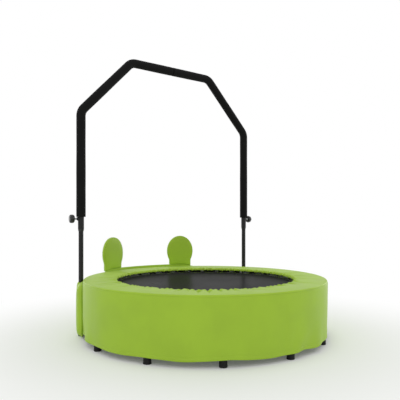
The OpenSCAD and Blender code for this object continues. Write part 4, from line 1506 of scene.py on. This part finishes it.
class TRAMPOLINE_OT_springs(bpy.types.Operator):
    """Makes the tension springs, each stretched between the frame and the mat"""

    bl_idname = "trampoline.springs"
    bl_label = "Springs"

    def execute(self, context):
        mat = settings().mat
        path = spring_path((mat.coil - mat.wire) / 2, mat.turns)
        pattern = wire_path("spring_pattern", path)
        run_tree(pattern, "round_wire", "zinc_steel", Radius=mat.wire / 2, Sides=6)
        for k in range(SPRING_COUNT):
            angle = math.radians(SPRING_FIRST + k * 360 / SPRING_COUNT)
            mesh = pattern.data.copy()
            mesh.transform(Matrix.Rotation(angle, 4, "Z"))
            spring = link_piece(f"spring_{k + 1:02d}", mesh)
            fixed = polar(FRAME_R - TUBE_R, angle, SPRING_Z)
            pulled = polar(RING_START + RING_LONG, angle, SPRING_Z)
            if k == 0:
                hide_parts("springs")
            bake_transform(spring)
        bpy.data.objects.remove(pattern)
        return {"FINISHED"}


# ---------------------------------------------------------------- feet, grips and knobs


class TRAMPOLINE_OT_feet(bpy.types.Operator):
    """Makes the rubber foot caps"""

    bl_idname = "trampoline.feet"
    bl_label = "Feet"

    def execute(self, context):
        tall, pole, sole = CAP_HIGH.z, 0.4 * MM, 5 * MM
        inner = TUBE_R + 0.1 * MM
        rim, groove = inner + 1.1 * MM, CAP_R - 0.7 * MM
        profile = [(pole, 0), (CAP_R - 3 * MM, 0), (CAP_R, 0.2 * MM), (CAP_R, 6 * MM), (groove, 6.6 * MM),
                   (groove, 7.6 * MM), (CAP_R - 0.1 * MM, 8.2 * MM), (rim, tall - 1 * MM),
                   (rim - 0.4 * MM, tall), (inner, tall), (inner, sole), (pole, sole)]
        shape = rounded(profile, 1.2 * MM, 4)
        cap = revolve("foot_caps", shape, "foot_rubber", 40, (FRAME_R, 0, 0))
        run_tree(cap, "round_the_ring", "foot_rubber", Count=LEG_COUNT)
        hand_over(cap, "root", "foot_rubber", "leg_caps")
        return {"FINISHED"}


def handle_path(low, end_x):
    """Centre line of the handle's right half: up the post, over the lean and in along the top bar."""
    lean = math.radians(LEAN)
    tangent = BEND_R * math.tan(lean / 2)
    upper_tangent = BEND_R * math.tan(math.pi / 4 - lean / 2)
    bend_z = BAR_Z - (POST.x - BAR_HALF) / math.tan(lean) - tangent
    points = [(POST.x, z) for z in np.linspace(low, bend_z, 60)]
    for t in np.linspace(0, lean, 24)[1:]:
        points.append((POST.x - BEND_R + BEND_R * math.cos(t), bend_z + BEND_R * math.sin(t)))
    start = np.array(points[-1])
    reach = (POST.x - BAR_HALF) / math.sin(lean) - tangent - upper_tangent
    along = np.array([-math.sin(lean), math.cos(lean)])
    points += [tuple(start + along * s) for s in np.linspace(0, reach, 40)[1:]]
    centre_x, centre_z = BAR_HALF - upper_tangent, BAR_Z - BEND_R
    for t in np.linspace(lean, math.pi / 2, 24)[1:]:
        points.append((centre_x + BEND_R * math.cos(t), centre_z + BEND_R * math.sin(t)))
    points += [(x, BAR_Z) for x in np.linspace(centre_x, end_x, 32)[1:]]
    return np.array([(x, POST.y, z) for x, z in points])


class TRAMPOLINE_OT_grips(bpy.types.Operator):
    """Makes the foam grips over the handle"""

    bl_idname = "trampoline.grips"
    bl_label = "Foam Grips"

    def execute(self, context):
        outer = (GRIP_HIGH.y - GRIP_LOW.y) / 2
        inner = BAR_R + 0.25 * MM
        path = handle_path(GRIP_LOW.z, GRIP_LOW.x)
        run = run_along(path)
        long_wave, short_wave = 0.071, 0.029
        bulge = 0.18 * MM * np.sin(run / long_wave) + 0.12 * MM * np.sin(run / short_wave + 1)
        lines, sizes = self.outside(path, outer + 0.1 * MM + bulge, inner)
        for side, name in ((1, "right"), (-1, "left")):
            piece = self.sleeve(f"foam_grip_{name}_sleeve", lines, sizes, path, inner, side)
            hand_over(piece, "handle", "grip_foam", f"foam_grip_{name}")
        return {"FINISHED"}

    def outside(self, path, radii, inner):
        """Places and radii along the outside, from the bore round both soft ends."""
        edge = 2.0 * MM
        ends = [(0, edge), (0.12, 0.55 * edge), (0.4, 0.18 * edge), (1, 0)]
        head, tail = path[1] - path[0], path[-1] - path[-2]
        head, tail = head / np.linalg.norm(head), tail / np.linalg.norm(tail)
        lines = [path[0], *(path[0] + head * along * edge for along, _ in ends), *path[1:-1],
                 *(path[-1] - tail * along * edge for along, _ in ends[::-1]), path[-1]]
        sizes = [inner, *(radii[0] - drop for _, drop in ends), *radii[1:-1],
                 *(radii[-1] - drop for _, drop in ends[::-1]), inner]
        return np.array(lines), np.array(sizes)

    def sleeve(self, name, lines, sizes, path, inner, side):
        """A closed sleeve: its outside along lines, and its bore back along the path."""
        bore = path[::-3]
        lines = np.concatenate([lines, bore])
        sizes = np.concatenate([sizes, np.full(len(bore), inner)])
        nearest = [int(np.argmin(np.linalg.norm(path - spot, axis=1))) for spot in lines]
        ahead = np.array([step / np.linalg.norm(step) for step in np.gradient(path, axis=0)[nearest]])
        up = np.cross(ahead, (0, 1, 0))
        turn = full_turn(48)[None, :, None]
        spokes = np.sin(turn) * np.array([0, 1, 0]) + np.cos(turn) * up[:, None]
        points = (lines[:, None] + sizes[:, None, None] * spokes) * np.array([side, 1, 1])
        return grid_piece(name, points, "grip_foam", ring_uv(points), closed=True)


class TRAMPOLINE_OT_knobs(bpy.types.Operator):
    """Makes the clamp knobs and their threaded screws"""

    bl_idname = "trampoline.knobs"
    bl_label = "Clamp Knobs"

    def execute(self, context):
        for name in ("left", "right"):
            joint = JOINTS[f"knob_{name}_turn"]
            centre, axis = np.array(joint["pos_m"]), np.array(joint["axis"])
            self.knob(name, centre, axis)
            self.screw(name, centre, axis)
        return {"FINISHED"}

    def place(self, centre, axis, radius, turn, along):
        """Points round the screw's axis."""
        side, up = np.array([-axis[1], axis[0], 0]), np.array([0, 0, 1])
        spoke = np.cos(turn)[..., None] * side + np.sin(turn)[..., None] * up
        return centre + radius[..., None] * spoke + along[..., None] * axis

    def knob(self, name, centre, axis):
        """A barrel-shaped knob with lobes and a recessed cap."""
        start, thick, lobe_depth = 28.5 * MM, 19.4 * MM, 1.5 * MM
        # Radius, place along the axis, and share of the lobes.
        profile = [(4.6, 0, 0), (8, 0, 0), (8.6, -0.9, 0), (10.5, -0.9, 0), (11.5, -0.2, 0), (13.8, 0.1, 0.3),
                   (15.6, 1.3, 0.7), (16.8, 3.6, 1), (17.4, 6.6, 1), (17.6, 9.7, 1), (17.4, 12.8, 1),
                   (16.8, 15.8, 1), (15.6, 18.1, 0.7), (13.8, 19.3, 0.3), (11.6, 19.6, 0), (11.2, 19.4, 0),
                   (10.8, 18.7, 0), (10.2, 18.7, 0), (9.8, 19.3, 0), (6, 19.7, 0), (1, 19.9, 0)]
        rows = np.array(profile)
        turn = full_turn(96)[None, :]
        drop = lobe_depth * (0.5 - 0.5 * np.cos(turn * settings().handle.lobes)) ** 1.6
        radius = rows[:, :1] * MM - rows[:, 2:] * drop
        along = np.clip(start + rows[:, 1:2] * MM, start - 1 * MM, start + thick + 0.6 * MM)
        radius, along, turn = np.broadcast_arrays(radius, along, turn)
        points = self.place(centre, axis, radius, turn, along)
        piece = grid_piece(f"clamp_knob_{name}", points, "black_plastic", ring_uv(points), poles=True)
        hand_over(piece, f"knob_{name}", "black_plastic", f"knob_{name}")

    def screw(self, name, centre, axis):
        """A threaded screw with a plain tip."""
        pitch = settings().handle.thread_pitch
        radius, start, end = 4 * MM, POST_R + 0.3 * MM, 37.5 * MM
        per_pitch, count = 7, 24
        rows = int((end - start) / pitch * per_pitch)
        along = np.linspace(start, end, rows)[:, None]
        turn = full_turn(count)[None, :]
        phase = (along / pitch - turn / (2 * math.pi)) % 1
        tooth = np.clip(1.15 - 2.3 * np.abs(phase - 0.5), 0, 1)
        threaded = smooth_step(along, start + 3 * MM, start + 4 * MM)
        threaded = threaded * smooth_step(-along, -end, -end + 1 * MM)
        size = radius - 0.62 * MM * (1 - tooth * threaded) * threaded - 0.5 * MM * (1 - threaded)
        size, along, turn = np.broadcast_arrays(size, along, turn)
        points = self.place(centre, axis, size, turn, along)
        piece = grid_piece(f"clamp_screw_{name}_thread", points, "zinc_steel", ring_uv(points), poles=True)
        hand_over(piece, f"knob_{name}", "zinc_steel", f"clamp_screw_{name}")


class TRAMPOLINE_OT_frame(bpy.types.Operator):
    """Gives the frame's own pieces their finishes"""

    bl_idname = "trampoline.frame"
    bl_label = "Frame Finishes"

    def execute(self, context):
        MATERIALS.update(make_materials())
        TREES.update({"round_wire": wire_tree(), "stitch_row": stitch_tree(), "round_the_ring": ring_tree()})
        slots = {s["node"]: s["material_slot"] for s in frame["record"]["subparts"]}
        for name, node in frame["nodes"].items():
            node.data.materials.clear()
            node.data.materials.append(MATERIALS[slots[name]])
        return {"FINISHED"}


# ---------------------------------------------------------------- the stage


BACKGROUND_RAYS = ("Is Camera Ray", "Is Glossy Ray", "Is Transmission Ray")


class TRAMPOLINE_OT_stage(bpy.types.Operator):
    """Sets up the floor, the light and the camera"""

    bl_idname = "trampoline.stage"
    bl_label = "Stage"

    def execute(self, context):
        self.floor()
        self.world()
        self.lamps()
        self.camera()
        context.scene.view_settings.view_transform = "Standard"
        return {"FINISHED"}

    def seen(self, shader):
        """1 for rays that show the background: from the camera, off gloss or through glass."""
        path = shader.nodes.new("ShaderNodeLightPath")
        camera, gloss, glass = (Value(shader, path.outputs[name]) for name in BACKGROUND_RAYS)
        return camera.maths("MAXIMUM", gloss).maths("MAXIMUM", glass)

    def floor(self):
        """A pale floor that turns white away from the object, with a painted glow that lightens the object's
        shadow on it.
        """
        stage = settings().stage
        size = 30.0
        corners = [(-size, -size, 0), (size, -size, 0), (size, size, 0), (-size, size, 0)]
        mesh = bpy.data.meshes.new("floor")
        mesh.from_pydata(corners, [], [(0, 1, 2, 3)])
        shader = Shader("floor")
        place = shader.place()
        x, y, _ = shader.parts(place)
        away = (x * x + y * y).maths("SQRT")
        white = away.ramp(stage.fade_start, stage.fade_end) * self.seen(shader)
        grain = shader.noise(place, 40.0, 2.0)
        tint = shader.blend(grain, shade(stage.floor, 0.995), shade(stage.floor, 1.005))
        matt = shader.add("ShaderNodeBsdfDiffuse", Color=tint)
        # Painted light: part of the floor glows in a pale green, which lightens the object's shadow and stands in
        # for light bounced off the green skirt; the glow is weaker within half a metre of the middle.
        lift = shader.add("ShaderNodeEmission", Color=(0.9, 0.95, 0.86), Strength=1.0)
        matt = shader.add("ShaderNodeMixShader", None, away.ramp(0.5, 0.6, 0.1, 0.28), matt, lift)
        glow = shader.add("ShaderNodeEmission", Color=(1, 1, 1), Strength=1.0)
        shader.end(shader.add("ShaderNodeMixShader", None, white, matt, glow))
        mesh.materials.append(shader.material)
        floor = bpy.data.objects.new("floor", mesh)
        bpy.context.scene.collection.objects.link(floor)

    def world(self):
        """A plain white dome, seen at strength 1 by the camera, in gloss and through glass."""
        world = bpy.data.worlds.new("dome")
        bpy.context.scene.world = world
        world.use_nodes = True
        nodes, links = world.node_tree.nodes, world.node_tree.links
        nodes.clear()
        path = nodes.new("ShaderNodeLightPath")
        lit, shown = nodes.new("ShaderNodeBackground"), nodes.new("ShaderNodeBackground")
        lit.inputs["Strength"].default_value = settings().stage.dome
        shown.inputs["Strength"].default_value = 1.0
        for back in (lit, shown):
            back.inputs["Color"].default_value = (1, 1, 1, 1)
        mix, out = nodes.new("ShaderNodeMixShader"), nodes.new("ShaderNodeOutputWorld")
        shown_to = path.outputs[BACKGROUND_RAYS[0]]
        for ray in BACKGROUND_RAYS[1:]:
            either = nodes.new("ShaderNodeMath")
            either.operation = "MAXIMUM"
            links.new(shown_to, either.inputs[0])
            links.new(path.outputs[ray], either.inputs[1])
            shown_to = either.outputs[0]
        links.new(shown_to, mix.inputs[0])
        links.new(lit.outputs[0], mix.inputs[1])
        links.new(shown.outputs[0], mix.inputs[2])
        links.new(mix.outputs[0], out.inputs[0])

    def lamps(self):
        """Large softboxes in front and at both sides, which model the round of the skirt."""
        for name, spot, power, size in (("key_softbox", (-2.2, -2.0, 2.2), 9.0, 2.4),
                                        ("fill_softbox", (2.6, -1.2, 1.8), 4.0, 2.4),
                                        ("left_softbox", (-0.8, 2.8, 0.8), 14.0, 1.6),
                                        ("right_softbox", (2.8, 0.2, 0.8), 14.0, 1.6)):
            lamp = bpy.data.lights.new(name, "AREA")
            lamp.shape, lamp.size, lamp.energy = "DISK", size, power
            holder = bpy.data.objects.new(name, lamp)
            holder.location = spot
            aim = Vector((0, 0, 0.4)) - Vector(spot)
            holder.rotation_euler = aim.to_track_quat("-Z", "Y").to_euler()
            bpy.context.scene.collection.objects.link(holder)

    def camera(self):
        """An eye at about half the object's height that looks level, from the left of the front."""
        place, turn = (-1.248, -1.6595, 0.482), -36.36
        lens = bpy.data.cameras.new("camera")
        lens.lens, lens.sensor_width, lens.shift_y = 43.43, 36.0, 0.051
        eye = bpy.data.objects.new("camera", lens)
        eye.location = place
        eye.rotation_euler = (math.radians(90), 0, math.radians(turn))
        bpy.context.scene.collection.objects.link(eye)
        bpy.context.scene.camera = eye


class TRAMPOLINE_PT_panel(bpy.types.Panel):
    """Lists the trampoline's pieces"""

    bl_idname = "TRAMPOLINE_PT_panel"
    bl_label = "Trampoline"
    bl_space_type = "VIEW_3D"
    bl_region_type = "UI"
    bl_category = "Trampoline"

    def draw(self, context):
        for operator in OPERATORS:
            self.layout.operator(operator.bl_idname)
        groups = context.scene.trampoline
        for group in (groups.cover, groups.mat, groups.handle, groups.stage):
            box = self.layout.box()
            for name in group.__annotations__:
                box.prop(group, name)


OPERATORS = (
    TRAMPOLINE_OT_stage, TRAMPOLINE_OT_frame, TRAMPOLINE_OT_cover, TRAMPOLINE_OT_skirt, TRAMPOLINE_OT_ears,
    TRAMPOLINE_OT_side_pads, TRAMPOLINE_OT_mat, TRAMPOLINE_OT_springs, TRAMPOLINE_OT_feet,
    TRAMPOLINE_OT_grips, TRAMPOLINE_OT_knobs,
)
CLASSES = (CoverSettings, MatSettings, HandleSettings, StageSettings, TrampolineSettings, *OPERATORS,
           TRAMPOLINE_PT_panel)


def register():
    for item in CLASSES:
        bpy.utils.register_class(item)
    bpy.types.Scene.trampoline = PointerProperty(type=TrampolineSettings)


def unregister():
    del bpy.types.Scene.trampoline
    for item in reversed(CLASSES):
        bpy.utils.unregister_class(item)


def main():
    """Makes every piece in order."""
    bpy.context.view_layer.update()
    register()
    for operator in OPERATORS:
        group, name = operator.bl_idname.split(".")
        getattr(getattr(bpy.ops, group), name)()


if __name__ == "__main__":
    main()
